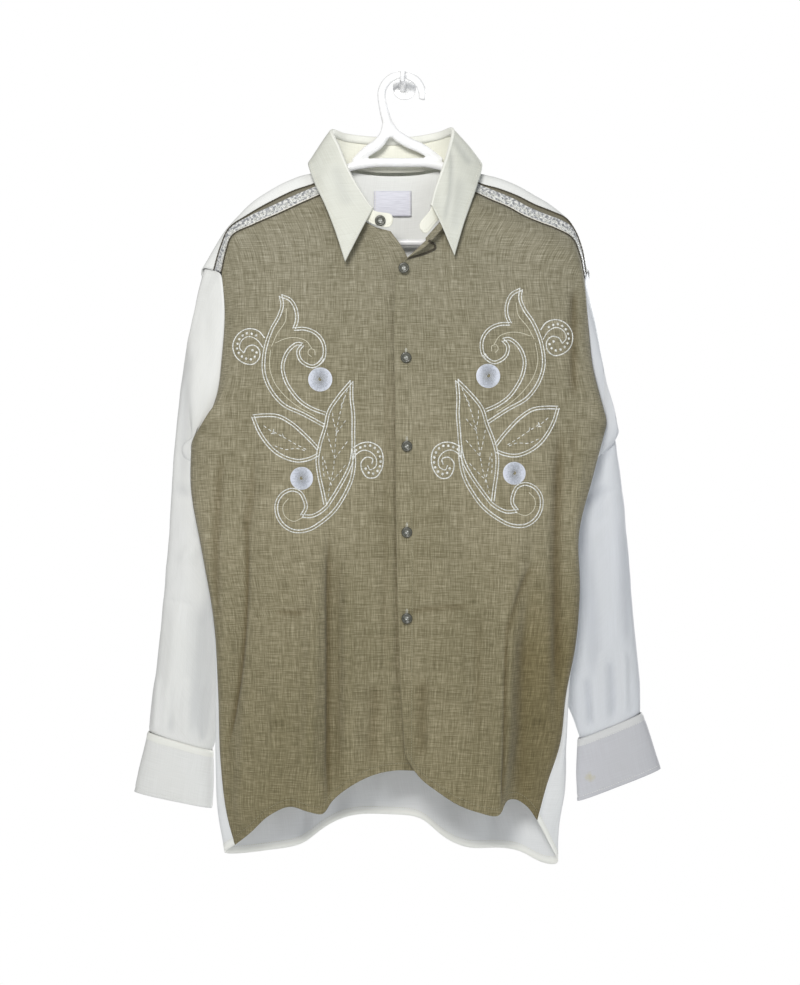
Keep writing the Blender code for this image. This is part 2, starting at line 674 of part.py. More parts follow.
def united(thing, others):
    for other in others:
        join = thing.modifiers.new("join_" + other.name, "BOOLEAN")
        join.operation = "UNION"
        join.solver = "EXACT"
        join.object = other


def hook_path():
    """Centre line of the hanger's stem and hook, with its half widths."""
    points = [(x, HANGER_DEPTH, z) for x, z, _ in HANGER_STEM]
    radii = [row[2] for row in HANGER_STEM]
    for step in range(15):
        angle = math.radians(HOOK_START + (HOOK_END - HOOK_START) * step / 14)
        x = HOOK_CENTRE[0] + HOOK_RADIUS * math.cos(angle)
        z = HOOK_CENTRE[1] + HOOK_RADIUS * math.sin(angle)
        points.append((x, HANGER_DEPTH, z))
        radii.append(HOOK_ROD if step < 13 else HOOK_ROD - 0.6 * (step - 12))
    return points, radii


def build_hanger():
    ring_rows = [(x, HANGER_DEPTH, z) for x, z, _ in HANGER_RING]
    ring_sizes = [row[2] for row in HANGER_RING]
    ring = tube("hanger_ring", ring_rows, 5.0, WHITE, ring_sizes, cyclic=True, keep=False)
    body = meshed(ring, "hanger", WHITE, True, HANGER_FLAT, HANGER_DEPTH)
    path, radii = hook_path()
    others = [meshed(tube("hook_rod", path, 5.0, WHITE, radii, keep=False), "hook_rod", WHITE, False,
                     HANGER_FLAT - 0.03, HANGER_DEPTH)]
    for index, rows in enumerate(HANGER_STRUTS):
        points = [(x, HANGER_DEPTH, z) for x, z, _ in rows]
        name = f"strut_{index + 1}"
        rod = tube(name, points, 5.0, WHITE, [row[2] for row in rows], keep=False)
        others.append(meshed(rod, name, WHITE, False, 0.66, HANGER_DEPTH))
    united(body, others)


def build_wall_hook():
    shape = bmesh.new()
    bmesh.ops.create_cube(shape, size=1.0)
    for corner in shape.verts:
        for axis in range(3):
            corner.co[axis] *= PLATE_SIZE[axis] * MM
    upright = [edge for edge in shape.edges if abs(edge.verts[0].co.y - edge.verts[1].co.y) > 1e-6]
    bmesh.ops.bevel(shape, geom=upright, offset=PLATE_CORNER * MM, segments=6, affect="EDGES", profile=0.5)
    mesh = bpy.data.meshes.new("wall_hook")
    shape.to_mesh(mesh)
    shape.free()
    plate = placed("wall_hook", mesh, WHITE, PLATE_CENTRE)
    points = [(PRONG_X, y, z) for y, z, _ in PRONG]
    prong = tube("prong", points, 4.0, WHITE, [row[2] for row in PRONG], keep=False)
    united(plate, [meshed(prong, "prong", WHITE, False)])


def button_mesh():
    """Half section of a button with a raised rim, turned round its axis."""
    profile = [(0.0, 1.45), (3.9, 1.45), (4.7, 2.2), (5.6, 2.1), (6.2, 1.2), (5.7, 0.0), (0.0, 0.0)]
    mesh = bpy.data.meshes.new("button")
    shape = bmesh.new()
    corners = [shape.verts.new((r * MM, 0, h * MM)) for r, h in profile]
    for first, second in zip(corners, corners[1:]):
        shape.edges.new((first, second))
    shape.to_mesh(mesh)
    shape.free()
    mesh.materials.append(PEARL)
    return mesh


def build_button(name, mesh, location, turn):
    thing = placed(name, mesh, PEARL, location)
    thing.rotation_euler = turn
    screw = thing.modifiers.new("turned", "SCREW")
    screw.axis = "Z"
    screw.angle = 2 * math.pi
    screw.steps = 14
    screw.render_steps = 14
    screw.use_merge_vertices = True
    screw.merge_threshold = 1e-5
    screw.use_normal_calculate = True
    return thing


clear_scene()
PARTS = collection_named("embroidered_shirt")
CUTTERS = collection_named("joined_shapes")
HOLDER = bpy.data.objects.new("shirt_on_wall", None)
PARTS.objects.link(HOLDER)
HOLDER.location = [value * MM for value in FRAME]

OLIVE = material("olive_weave", (0.27, 0.23, 0.10), 0.85)
CREAM = material("cream_cotton", (0.78, 0.74, 0.62), 0.7)
BRAID = material("woven_braid", (0.72, 0.70, 0.60), 0.6)
DARK = material("dark_piping", (0.13, 0.12, 0.06), 0.7)
PEARL = material("pearl_button", (0.55, 0.54, 0.42), 0.25)
LABEL = material("plain_label", (0.72, 0.70, 0.76), 0.7)
WHITE = material("white_plastic", (0.86, 0.86, 0.84), 0.3)

# Fronts
right_front = front_points(
    CENTRE_RIGHT, HEM_RIGHT, SIDE_RIGHT, ARM_FRONT_RIGHT, BRAID_RIGHT, NECK_RIGHT, FOLDS_RIGHT, FRONT_CELLS
)
left_front = front_points(
    CENTRE_LEFT, HEM_LEFT, SIDE_LEFT, ARM_FRONT_LEFT, BRAID_LEFT, NECK_LEFT, FOLDS_LEFT, FRONT_CELLS
)
sheet("front_right", pulled_back(right_front, top=0.8, end=1.3), OLIVE)
sheet("front_left", pulled_back(left_front, top=0.8, end=1.3), OLIVE)

# Back and yoke
back = back_points(BACK_CELLS)
armpit_row = ARMPIT * BACK_CELLS[1]
edge_gap = 2.1 + 4.2 * np.exp(-(((np.arange(BACK_CELLS[1] + 1) - armpit_row) / 0.9) ** 2))
sheet("back", pulled_back(back, top=SEAM, start=edge_gap, end=edge_gap), CREAM)
yoke = yoke_points(YOKE_CELLS)
sheet("yoke", pulled_back(yoke, bottom=2.2, top=SEAM, start=0.9, end=0.9), CREAM)

# Sleeves
right_loops = armhole(ARM_FRONT_RIGHT, BRAID_RIGHT, YOKE[0], ARM_BACK_RIGHT)
left_loops = armhole(ARM_FRONT_LEFT, BRAID_LEFT, YOKE[-1], ARM_BACK_LEFT)
right_sleeve = sleeve_points(right_loops, SLEEVE_RIGHT, SLEEVE_CELLS, 2.2)
left_sleeve = sleeve_points(left_loops, SLEEVE_LEFT, SLEEVE_CELLS, 2.2)
sheet("sleeve_right", right_sleeve, CREAM, closed=True)
sheet("sleeve_left", left_sleeve, CREAM, closed=True)

# Cuffs
sheet("cuff_right", cuff_points(CUFF_RIGHT, (30, 2), CUFF_OVERLAP), CREAM)
sheet("cuff_left", cuff_points(CUFF_LEFT, (30, 2), CUFF_OVERLAP), CREAM)

# Collar
stand = between(STAND, 32, 2)
sheet("collar_stand", stand, CREAM)
sheet("collar_leaf", between(LEAF, 32, 3), CREAM)

# Braid and piping
for hand, braid in (("right", BRAID_RIGHT), ("left", BRAID_LEFT)):
    strip = pulled_back(between(braid, 16, 1), 0.8, 0.8, 0.6, 1.2)
    sheet("braid_" + hand, strip, BRAID, TRIM_WALL)
    way = normals_of(between(braid, 16, 1))
    facing = -np.sign(way[..., 1:2])
    for edge, level in (("lower", 0), ("upper", 1)):
        line = between(braid, 16, 1, 0.02, 0.985)[level]
        lifted = line + (way * facing)[level] * (TRIM_WALL / 2 + PIPING_RADIUS + 0.4)
        tube(f"piping_{hand}_{edge}", lifted, PIPING_RADIUS, DARK)

# Buttons
shared = button_mesh()
for number, (x, z, gap) in enumerate(BUTTONS):
    cloth = stand if number == 0 else left_front
    place = (x, button_depth(cloth, x, z, gap), z)
    build_button(f"button_{number + 1}", shared, place, (math.pi / 2, 0, 0))
build_button("cuff_button_right", shared, (-268, -2.95, -805), (-math.pi / 2, 0, 0))
build_button("cuff_button_left", shared, (255, -2.95, -785), (-math.pi / 2, 0, 0))

# Neck label, inside the back of the yoke
bpy.ops.mesh.primitive_cube_add(size=1.0)
label = bpy.context.active_object
for owner in list(label.users_collection):
    owner.objects.unlink(label)
label_mesh = label.data
bpy.data.objects.remove(label, do_unlink=True)
tag = placed("neck_label", label_mesh, LABEL, (-11, -14.4, -137))
tag.scale = (44 * MM, 0.9 * MM, 30 * MM)

build_hanger()
build_wall_hook()
bpy.context.view_layer.update()
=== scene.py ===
# Looks of an embroidered long-sleeved shirt on a plastic hanger, hung from a small wall hook.
# Tables and lengths are in millimetres, measured from FRAME. Meshes are in metres, in the row's frame.
# Right and left are the wearer's. The wearer's right is at -X.

import math

import bmesh
import bpy
import numpy as np
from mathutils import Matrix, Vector, noise
from mathutils.bvhtree import BVHTree


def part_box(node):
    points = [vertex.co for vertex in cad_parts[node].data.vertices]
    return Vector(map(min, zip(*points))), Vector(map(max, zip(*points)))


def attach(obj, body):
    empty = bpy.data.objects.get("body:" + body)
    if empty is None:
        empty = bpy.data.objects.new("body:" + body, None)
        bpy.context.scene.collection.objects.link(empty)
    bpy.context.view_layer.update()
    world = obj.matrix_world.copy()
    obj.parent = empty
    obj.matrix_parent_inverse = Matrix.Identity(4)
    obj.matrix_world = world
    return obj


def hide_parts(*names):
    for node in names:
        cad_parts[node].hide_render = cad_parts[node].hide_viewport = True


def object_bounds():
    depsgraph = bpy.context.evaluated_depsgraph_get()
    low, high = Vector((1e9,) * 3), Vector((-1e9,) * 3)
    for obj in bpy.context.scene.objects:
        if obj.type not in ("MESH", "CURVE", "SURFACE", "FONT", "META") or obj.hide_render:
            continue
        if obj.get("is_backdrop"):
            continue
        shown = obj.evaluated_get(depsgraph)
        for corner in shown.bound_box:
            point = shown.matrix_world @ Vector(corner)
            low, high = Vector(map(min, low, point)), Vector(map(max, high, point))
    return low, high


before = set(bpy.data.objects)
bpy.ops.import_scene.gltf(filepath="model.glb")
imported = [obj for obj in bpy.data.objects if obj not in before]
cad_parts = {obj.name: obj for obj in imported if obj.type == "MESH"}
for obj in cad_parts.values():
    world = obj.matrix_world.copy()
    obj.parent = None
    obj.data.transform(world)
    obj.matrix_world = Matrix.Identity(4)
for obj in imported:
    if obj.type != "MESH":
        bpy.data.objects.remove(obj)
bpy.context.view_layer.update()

MM = 0.001
FRAME = np.array([-3.0, 0.0, -15.0])
WALL = 0.9  # how thick the cloth shows
ARMPIT = 15 / 22
VIEW_WIDTH = 0.566375  # what the camera sees at a distance of 1
WALL_SIDE = (0, 1, 0)  # the way to the wall
NECK_MIDDLE = np.array([-10.0, -38.0, 0.0])
HANGER_DEPTH = -26.0
HANGER_FLAT = 0.8
FLOOR = -1.4  # in metres

# How near the wall each piece comes
YOKE_CLEAR = -10.8
BACK_CLEAR = -2.5
SLEEVE_CLEAR = -2.2

STITCH_OPEN = 0.17  # share of a stitch's pitch that is left open at either end
STITCH_DIP = 0.12  # how far a stitch's ends dip and its middle rises
DOUBLE_LINE = 1.55  # from the middle of a double line to each of its threads

# Side seam from the hem up to the armhole's lowest point, then the front half of the armhole.
# Columns: x, y, z
SIDE_RIGHT = [
    (-193, -50, -884), (-202, -50, -850), (-209, -51, -792), (-212, -52, -705), (-217, -53, -624),
    (-231, -52, -543), (-244, -49, -468), (-244, -42, -416),
]
ARM_FRONT_RIGHT = [
    (-244, -42, -416), (-229, -43, -399), (-215, -45, -367), (-208, -46, -317), (-205, -46, -266),
    (-209, -43, -221),
]
SIDE_LEFT = [
    (156, -52, -855), (167, -52, -814), (182, -52, -768), (189, -52, -710), (200, -52, -653),
    (205, -52, -589), (204, -51, -525), (221, -49, -456), (238, -42, -395),
]
ARM_FRONT_LEFT = [
    (238, -42, -395), (229, -43, -364), (221, -45, -333), (216, -46, -288), (213, -46, -254),
    (211, -43, -228),
]

# Back half of each armhole, from its lowest point up to the yoke's back corner.
ARM_BACK_RIGHT = [
    (-244, -42, -416), (-229, -28, -396), (-215, -17, -355), (-209, -12, -300), (-216, -11, -240),
]
ARM_BACK_LEFT = [
    (238, -42, -395), (224, -28, -376), (213, -17, -343), (207, -12, -300), (210, -11, -240),
]

# The braid between front and yoke, from the neck out to the armhole.
# Columns: low x, y, z, which is the front's top edge, and high x, y, z, the yoke's front edge
BRAID_RIGHT = [
    (-79, -43, -125, -84, -36.5, -109), (-95, -43, -132, -100, -36, -117),
    (-118, -43, -142, -126, -36, -126), (-144, -43, -154, -149, -36, -137),
    (-172, -42, -166, -179, -36, -154), (-198, -40, -180, -202, -33, -170),
    (-204, -41, -197, -211, -32, -190), (-209, -43, -221, -219, -33, -218),
]
BRAID_LEFT = [
    (70, -43, -124, 75, -36.5, -109), (84, -43, -129, 89, -36, -117), (104, -43, -138, 113, -36, -124),
    (123, -43, -146, 134, -36, -132), (141, -43, -156, 154, -36, -142), (160, -43, -164, 174, -36, -150),
    (179, -42, -171, 191, -35, -158), (198, -40, -182, 201, -32, -171), (205, -41, -198, 209, -32, -192),
    (211, -43, -228, 214, -33, -222),
]

# Neckline of each front, from the braid to the centre edge.
NECK_RIGHT = [(-79, -43, -125), (-66, -50, -142), (-51, -57, -158), (-32, -62, -171), (-13, -65, -177)]
NECK_LEFT = [(70, -43, -124), (61, -53, -141), (51, -62, -157), (39, -69, -172), (27, -73, -186)]

# Centre edges, from the hem up to the neck. The left front lies over the right one.
CENTRE_RIGHT = [
    (21, -60, -797), (21, -68, -714), (22, -74, -600), (21, -75, -485), (19, -74, -371), (17, -71, -268),
    (12, -67, -226), (3, -66, -200), (-13, -65, -177),
]
CENTRE_LEFT = [
    (3, -67, -775), (-1, -74, -714), (-5, -79, -599), (-7, -81, -485), (-8, -80, -371), (-9, -79, -269),
    (-6, -78, -229), (3, -79, -212), (17, -81, -203), (27, -79, -197), (27, -73, -186),
]

# Hems, from the centre edge to the side seam.
HEM_RIGHT = [
    (21, -60, -797), (-8, -62, -796), (-31, -66, -800), (-60, -74, -813), (-80, -77, -829),
    (-91, -86, -842), (-105, -88, -839), (-127, -82, -834), (-151, -76, -845), (-174, -66, -867),
    (-193, -50, -884),
]
HEM_LEFT = [
    (3, -67, -775), (9, -69, -787), (21, -73, -803), (41, -78, -818), (64, -83, -832), (88, -88, -840),
    (108, -90, -843), (121, -74, -828), (131, -66, -829), (143, -61, -837), (156, -52, -855),
]
HEM_BACK = [
    (-193, -50, -884), (-206, -46, -893), (-205, -38, -896), (-154, -28, -894), (-113, -24, -886),
    (-94, -18, -871), (-67, -14, -858), (-8, -12, -856), (21, -14, -858), (50, -20, -882), (80, -26, -893),
    (109, -24, -892), (138, -28, -895), (163, -34, -908), (182, -42, -908), (172, -49, -886),
    (156, -52, -855),
]

# How the back turns in from each side seam.
# Columns: along the panel from the seam in mm, share of the outward swell, share of the seam's depth
SIDE_TURN = [
    (0, 0.0, 1.0), (6, 0.75, 0.95), (14, 1.0, 0.9), (26, 0.8, 0.84), (50, 0.3, 0.72), (80, 0.0, 0.5),
    (110, 0.0, 0.26), (145, 0.0, 0.08), (180, 0.0, 0.0),
]
# How far the back swells out past the front's edge. Columns: z, wearer's right, wearer's left
SWELL = [
    (-900, 13, 26), (-800, 9, 20), (-700, 6, 15), (-640, 6, 7), (-600, 4, 2), (-540, 0, 5), (-480, 0, 5),
    (-430, 0, 2), (-400, 0, 0), (-100, 0, 0),
]
BACK_DEPTH = -13.0

# Columns of the yoke, from the wearer's right armhole over both shoulders to the left one.
# Columns: front edge x, y, z; ridge x, y, z; back seam x, y, z
YOKE = [
    (-219, -33, -218, -234, -26, -214, -216, -11, -240),
    (-211, -32, -190, -218, -27, -185, -200, -11, -240),
    (-202, -33, -170, -204, -28, -163, -182, -11, -240),
    (-179, -36, -154, -174, -29, -131, -152, -11, -240),
    (-149, -36, -137, -143, -29, -112, -122, -11, -240),
    (-126, -36, -126, -121, -29, -101, -98, -11.5, -240),
    (-100, -36, -117, -102, -27, -97.5, -80, -12, -240),
    (-84, -36.5, -109, -91, -26, -95.5, -66, -12, -240), (-87, -25, -95, -84, -15, -101, -55, -12, -240),
    (-67, -17, -99, -60, -12.5, -138, -42, -12, -240),
    (-38, -13.5, -104, -36, -11.5, -148, -26, -12, -240),
    (-10, -13, -105, -10, -11.5, -150, -8, -12, -240), (20, -13.5, -104, 18, -11.5, -148, 12, -12, -240),
    (46, -17, -99, 42, -12.5, -138, 30, -12, -240), (73, -25, -95, 70, -15, -101, 46, -12, -240),
    (75, -36.5, -109, 79, -26, -95.5, 58, -12, -240), (89, -36, -117, 91, -27, -98.5, 72, -12, -240),
    (113, -36, -124, 111, -29, -103, 90, -11.5, -240), (134, -36, -132, 131, -29, -111, 110, -11, -240),
    (154, -36, -142, 151, -29, -122, 130, -11, -240), (174, -36, -150, 171, -29, -136, 150, -11, -240),
    (191, -35, -158, 190, -28, -150, 166, -11, -240), (201, -32, -171, 203, -27, -168, 182, -11, -240),
    (209, -32, -192, 211, -27, -188, 196, -11, -240), (214, -33, -222, 218, -26, -217, 210, -11, -240),
]

# Each sleeve below its armhole. Columns: outer x, y, z; inner x, y, z; front y; back y; bow in x
SLEEVE_RIGHT = [
    (-243, -26, -252, -259, -34, -425, -44, -9, 25), (-252, -24, -302, -251, -31, -440, -40, -7, 8),
    (-259, -22, -356, -231, -26, -458, -36, -6, 0), (-265, -21, -412, -202, -21, -484, -34, -5, -2),
    (-270, -20, -474, -176, -15, -514, -34, -5, 0), (-275, -19, -544, -162, -13, -566, -33, -5, 0),
    (-280, -18, -612, -168, -13, -628, -33, -5, 0), (-288, -18, -688, -190, -15, -704, -34, -5, 0),
    (-294, -18, -733, -212, -17, -752, -33, -5, 0), (-296, -18, -756, -223, -18, -778, -31, -6, 0),
]
SLEEVE_LEFT = [
    (224, -26, -264, 254, -34, -405, -44, -9, -4), (232, -25, -333, 246, -31, -420, -40, -7, -7),
    (242, -24, -376, 224, -26, -440, -36, -6, 0), (250, -22, -420, 196, -21, -470, -34, -5, 2),
    (257, -21, -470, 172, -15, -505, -34, -5, 0), (264, -20, -535, 158, -13, -558, -33, -5, 0),
    (270, -18, -603, 160, -13, -622, -33, -5, 0), (276, -18, -672, 180, -15, -694, -34, -5, 0),
    (279, -18, -712, 200, -17, -738, -33, -5, 0), (279, -18, -734, 209, -18, -764, -31, -6, 0),
]

# Cuffs, each a band that closes on the wall's side. Columns: top outer x, z; top inner x, z; bottom the same
CUFF_RIGHT = [(-298, -756.7, -221, -779.1), (-306, -795, -221, -815), (-313, -827, -223, -846)]
CUFF_LEFT = [(281, -734.7, 207, -765.1), (293, -770, 205, -803), (303, -800, 206, -838)]
CUFF_DEPTH = (-32.5, -6.5)  # front and back of the band
CUFF_OVERLAP = 0.09  # share of the band's length that lies double

# The collar from the wearer's right front end round the neck to the left one.
# Columns: base x, y, z; fold x, y, z
STAND = [
    (-12, -68.5, -175, -9, -69, -157), (-33, -65.5, -169, -33, -67, -153),
    (-51, -59.5, -156, -45, -62, -137), (-66, -52, -140, -60, -56, -111), (-78, -42, -119, -73, -48, -79),
    (-83, -31, -93.5, -81, -36, -57), (-68, -19.5, -95, -67, -20, -58), (-38, -16, -100, -34, -14.5, -61),
    (-10, -15.5, -101, -10, -14, -61.5), (18, -16, -100, 12, -14.5, -61), (49, -18.5, -95, 44, -19, -56),
    (67, -31, -93.5, 58, -36, -55), (68, -42, -116, 54, -49, -84), (61, -51.5, -136, 48, -56, -104),
    (50, -60, -154, 38, -64, -134), (38, -68.5, -168.5, 34, -70.5, -150), (27, -75, -184, 17, -76, -172),
]
# Columns: fold x, y, z; outer edge x, y, z
LEAF = [
    (-34, -69.1, -152.8, -65, -72, -213), (-46, -64.1, -136.4, -78, -67, -173),
    (-61.2, -57.9, -110.5, -89, -60, -145), (-75.0, -49.5, -78.3, -101, -50, -119),
    (-83.7, -36.9, -55.9, -109, -33, -92), (-68.3, -18.2, -57, -93, -7, -97),
    (-34.4, -12.4, -60, -42, -5.5, -112), (-10, -11.9, -60.4, -10, -5, -114),
    (12.2, -12.4, -60, 22, -5.5, -112), (45.2, -17.2, -55, 73, -7, -97),
    (60.2, -36.4, -54.2, 93, -33, -93), (55.8, -50.2, -83.4, 87, -50, -121),
    (49.2, -57.9, -103.5, 79, -60, -145), (39, -66.1, -133.4, 72, -67, -165),
    (34.8, -72.6, -149.8, 60, -74, -206),
]

# Folds of the fronts. Columns: top x, z; bottom x, z; half width; push towards the viewer at full depth
FOLDS_RIGHT = [
    (-92, -500, -107, -800, 13, 5), (-78, -510, -78, -800, 10, -7), (-168, -410, -200, -740, 16, -5),
    (-40, -640, -52, -790, 24, 3),
]
FOLDS_LEFT = [
    (130, -520, 110, -800, 15, 6), (146, -540, 129, -800, 11, -8), (46, -470, 44, -640, 20, 3),
    (184, -400, 178, -700, 13, -5),
]

# Creases of the fronts and the other pieces.
# Columns: start x, z; end x, z; half width; height, below zero for a trough; bow sideways
CREASES_RIGHT = [
    (-8.5, -240, -5, -790, 2.4, -1.8, 0), (-83, -514, -83, -842, 3.2, -3.7, 1),
    (-74, -530, -73, -830, 8, -1.7, 0), (-97, -530, -105, -815, 7, 2.8, 2),
    (-62, -560, -58, -800, 10, 2.4, -2), (-168, -417, -181, -530, 6, -2.2, -2),
    (-179, -500, -203, -780, 3.2, -3.6, -10), (-190, -247, -146, -250, 2.2, -1.0, 0),
    (-146, -613, -86, -608, 3.4, -2.8, 2), (-150, -300, -160, -470, 14, 2.1, 3),
    (-120, -230, -112, -420, 16, 1.9, 2), (-40, -260, -46, -520, 13, 1.3, -2),
    (-16, -300, -20, -700, 6, -1.3, 1), (-135, -640, -150, -800, 9, 2.3, 0),
    (-175, -690, -186, -860, 7, 2.4, 2), (-30, -690, -34, -790, 9, -1.9, 0),
    (-206, -420, -214, -640, 6, -2.3, 3), (-70, -178, -88, -330, 9, 1.4, -3),
]
CREASES_LEFT = [
    (199, -235, 197, -372, 6, -3.3, 1), (182, -394, 178, -715, 7, -3.5, 3),
    (197, -400, 196, -485, 5, -1.9, 0), (118, -618, 115, -842, 3.0, -3.9, 0),
    (140, -620, 134, -836, 9, -1.8, 3), (150, -556, 118, -642, 4, -2.6, 3),
    (106, -560, 102, -825, 8, 2.2, 0), (43, -480, 42, -602, 12, 2.4, 0),
    (4, -614, 78, -607, 3.4, -2.6, -3), (86, -240, 78, -440, 16, 1.4, -3),
    (150, -230, 160, -420, 13, 1.9, 2), (165, -600, 172, -810, 8, 2.6, 2),
    (62, -640, 66, -815, 12, 2.3, -2), (24, -680, 22, -785, 8, -2.1, 0), (90, -600, 86, -760, 9, -1.4, 2),
    (205, -430, 200, -560, 6, 2.1, 2),
]
BACK_CREASES = [
    (-120, -260, -100, -520, 16, -5.2, 6), (0, -250, 8, -560, 18, 4.7, -5),
    (110, -260, 96, -540, 15, -4.7, -5), (-60, -560, -72, -870, 10, 5.8, 3),
    (-150, -480, -160, -880, 10, -5.8, 4), (50, -580, 62, -870, 11, 5.2, -3),
    (150, -500, 158, -890, 10, -5.8, 2), (-205, -600, -206, -870, 8, 3.6, 0),
    (-20, -700, -24, -850, 6, -4.2, 1), (104, -700, 108, -885, 6, 4.2, 1),
    (-110, -700, -114, -885, 6, 4.2, -1), (182, -560, 186, -880, 8, 4.2, 0),
]
SLEEVE_CREASES_RIGHT = [
    (-196, -500, -272, -470, 8, -3.1, 0), (-200, -520, -262, -560, 7, 2.6, 3),
    (-176, -560, -196, -720, 7, 2.8, 2), (-236, -430, -250, -600, 12, 2.8, 4),
    (-240, -606, -276, -600, 3, -1.3, 0), (-215, -560, -236, -760, 9, -2.4, 3),
    (-228, -600, -236, -772, 18, -3.4, 0), (-262, -600, -276, -750, 8, 2.6, -2),
    (-228, -700, -232, -772, 4, -3.5, 0), (-250, -690, -254, -765, 4, 3.1, 0),
    (-268, -700, -271, -760, 4, -3.1, 0), (-284, -690, -288, -756, 4, 2.1, 0),
    (-250, -300, -256, -480, 8, -2.4, 3),
]
SLEEVE_CREASES_LEFT = [
    (186, -490, 256, -470, 8, -2.8, 0), (176, -520, 200, -720, 8, 3.3, -3),
    (205, -500, 226, -700, 9, -3.1, -4), (236, -440, 250, -640, 11, 2.8, -3),
    (226, -420, 236, -520, 8, -2.4, -2), (216, -690, 220, -752, 4, -3.9, 0),
    (232, -660, 236, -745, 4.5, 3.5, 0), (244, -670, 247, -742, 4, -3.9, 0),
    (258, -660, 260, -738, 4.5, 3.1, 0), (180, -600, 190, -700, 6, -2.4, 0),
    (262, -500, 268, -660, 7, -2.3, 2), (232, -330, 244, -440, 7, -2.8, 2),
]
COLLAR_CREASES = [
    (60, -64, 82, -98, 5, -1.3, 1), (57, -76, 48, -170, 3.2, -1.3, -4), (70, -110, 62, -180, 7, -0.8, 2),
    (-78, -95, -60, -150, 8, -0.8, 2), (-44, -92, -34, -140, 3, -0.8, 0),
]

# The hanger's flat ring: beam, rounded ends and lower bar. Columns: x, z, half height
HANGER_RING = [
    (0, -91, 5.6), (34, -92, 5.5), (50, -96.5, 5.2), (62, -102.5, 5.0), (80, -111.5, 4.8),
    (108, -117.5, 4.8), (139, -130, 4.6), (164, -148, 4.5), (180, -158, 4.5), (184, -169, 4.5),
    (180, -180, 4.5), (166, -184, 4.5), (80, -184.5, 4.4), (0, -184.5, 4.4), (-90, -184.5, 4.4),
    (-172, -184, 4.5), (-184, -180, 4.5), (-188, -170, 4.5), (-184, -161, 4.5), (-172, -151, 4.5),
    (-142, -129, 4.6), (-120, -118, 4.8), (-89, -108.5, 4.9), (-74, -101.5, 5.0), (-60, -96, 5.2),
    (-36, -91.5, 5.5),
]
# The stem and hook, from the fork up. Columns: x, z, half width
HANGER_STEM = [(-11.5, -61, 5.6), (-14.5, -52, 6.0), (-18, -41, 5.9), (-21, -30, 5.4)]
HOOK_CENTRE = (0.0, -12.3)
HOOK_RADIUS = 24.0
HOOK_ROD = 4.9
HOOK_START = 190  # degrees round the loop
HOOK_END = -12
HANGER_STRUTS = [
    [(-19, -46, 4.6), (-20.5, -58, 6.0), (-27, -68, 6.6), (-41, -78, 6.4), (-56, -91, 5.0)],
    [(-14, -46, 4.6), (-9, -56, 6.0), (3, -65, 6.4), (24, -75, 6.0), (46, -90, 5.0)],
]

# Silver embroidery: a scrolled flame, two leaves, two dotted curls and two discs on each front.
# Each outline is a smooth curve through a few points. Columns: x, z from the motif's middle
SCROLL = [
    (27, -29), (3, -16), (-21, -4), (-34, 11), (-42, 30), (-42, 55), (-34, 82), (-25, 99), (-22, 110),
    (-24, 121),
]
FLAME = [(-24, 121), (-13, 116), (-6, 104), (-5, 92), (-8, 82)]
HOOK_OUT = [(-8, 82), (5, 82), (17, 77), (25, 67), (27, 56), (25, 47), (19, 41)]
HOOK_IN = [(2, 64), (-3, 57), (-1, 47), (6, 41), (14, 39), (21, 43), (25, 49)]
BODY_IN = [
    (2, 64), (-4, 65), (-12, 60), (-18, 51), (-21, 39), (-18, 24), (-10, 10), (2, -3), (14, -10), (28, -15),
]
LEAF_LEFT = [(58, 22), (43, 4), (32, -13), (28, -30), (22, -50), (19, -68), (21, -86), (25, -104), (28, -119)]
LEAF_RIGHT = [
    (58, 22), (58, 2), (60, -17), (60, -36), (60, -52), (57, -72), (50, -88), (42, -102), (30, -121),
]
SWEEP = [
    (60, -52), (61, -72), (58, -90), (50, -108), (39, -125), (25, -138), (8, -148), (-8, -149),
    (-20, -142), (-27, -130), (-27, -116), (-20, -106), (-10, -102), (-1, -105), (4, -113), (6, -122),
    (1, -132),
]
SWEEP_IN = [(1, -132), (13, -132), (23, -127), (30, -121)]
SIDE_UP = [(-55, -18), (-42, -17), (-26, -18), (-11, -26), (3, -38), (13, -48), (20, -56)]
SIDE_LOW = [(-55, -18), (-49, -33), (-41, -46), (-30, -58), (-16, -66), (-3, -69), (9, -67), (20, -62)]
VEINS = [
    [(53, 12), (46, -10), (41, -34), (39, -56), (37, -80), (33, -98), (31, -112)],
    [(41, -37), (47, -29), (53, -20)], [(39, -66), (45, -58), (54, -46)],
    [(36, -92), (43, -84), (51, -74)], [(41, -37), (37, -22), (36, -10)],
    [(39, -66), (33, -48), (30, -36)], [(35, -97), (30, -80), (26, -64)],
    [(-31, -36), (-18, -43), (-6, -50), (8, -57)], [(-32, -37), (-30, -29)], [(-30, -38), (-39, -38)],
    [(-30, -52), (-18, -56), (-4, -55), (6, -58)], [(-34, -35), (-41, -30), (-47, -25)],
    [(-20, -42), (-22, -34)], [(25, -64), (25.5, -78), (27.5, -92)], [(46, -6), (50, 4)],
]
FAINT = [
    [(-17, 106), (-18, 92), (-28, 76), (-34, 62)], [(-30, 66), (-18, 71), (-6, 72), (6, 68), (12, 60)],
    [(-35, 58), (-36, 38), (-30, 20), (-18, 5), (-2, -8), (16, -18)],
    [(12, 50), (8, 54), (10, 59), (15, 58), (16, 52)],
    [(-14, -112), (-20, -120), (-18, -132), (-8, -138), (2, -134)],
]
# Discs of spiral satin stitch. Columns: x, z, radius
DISCS = [(22, 24, 13.2), (1, -89, 12.4)]
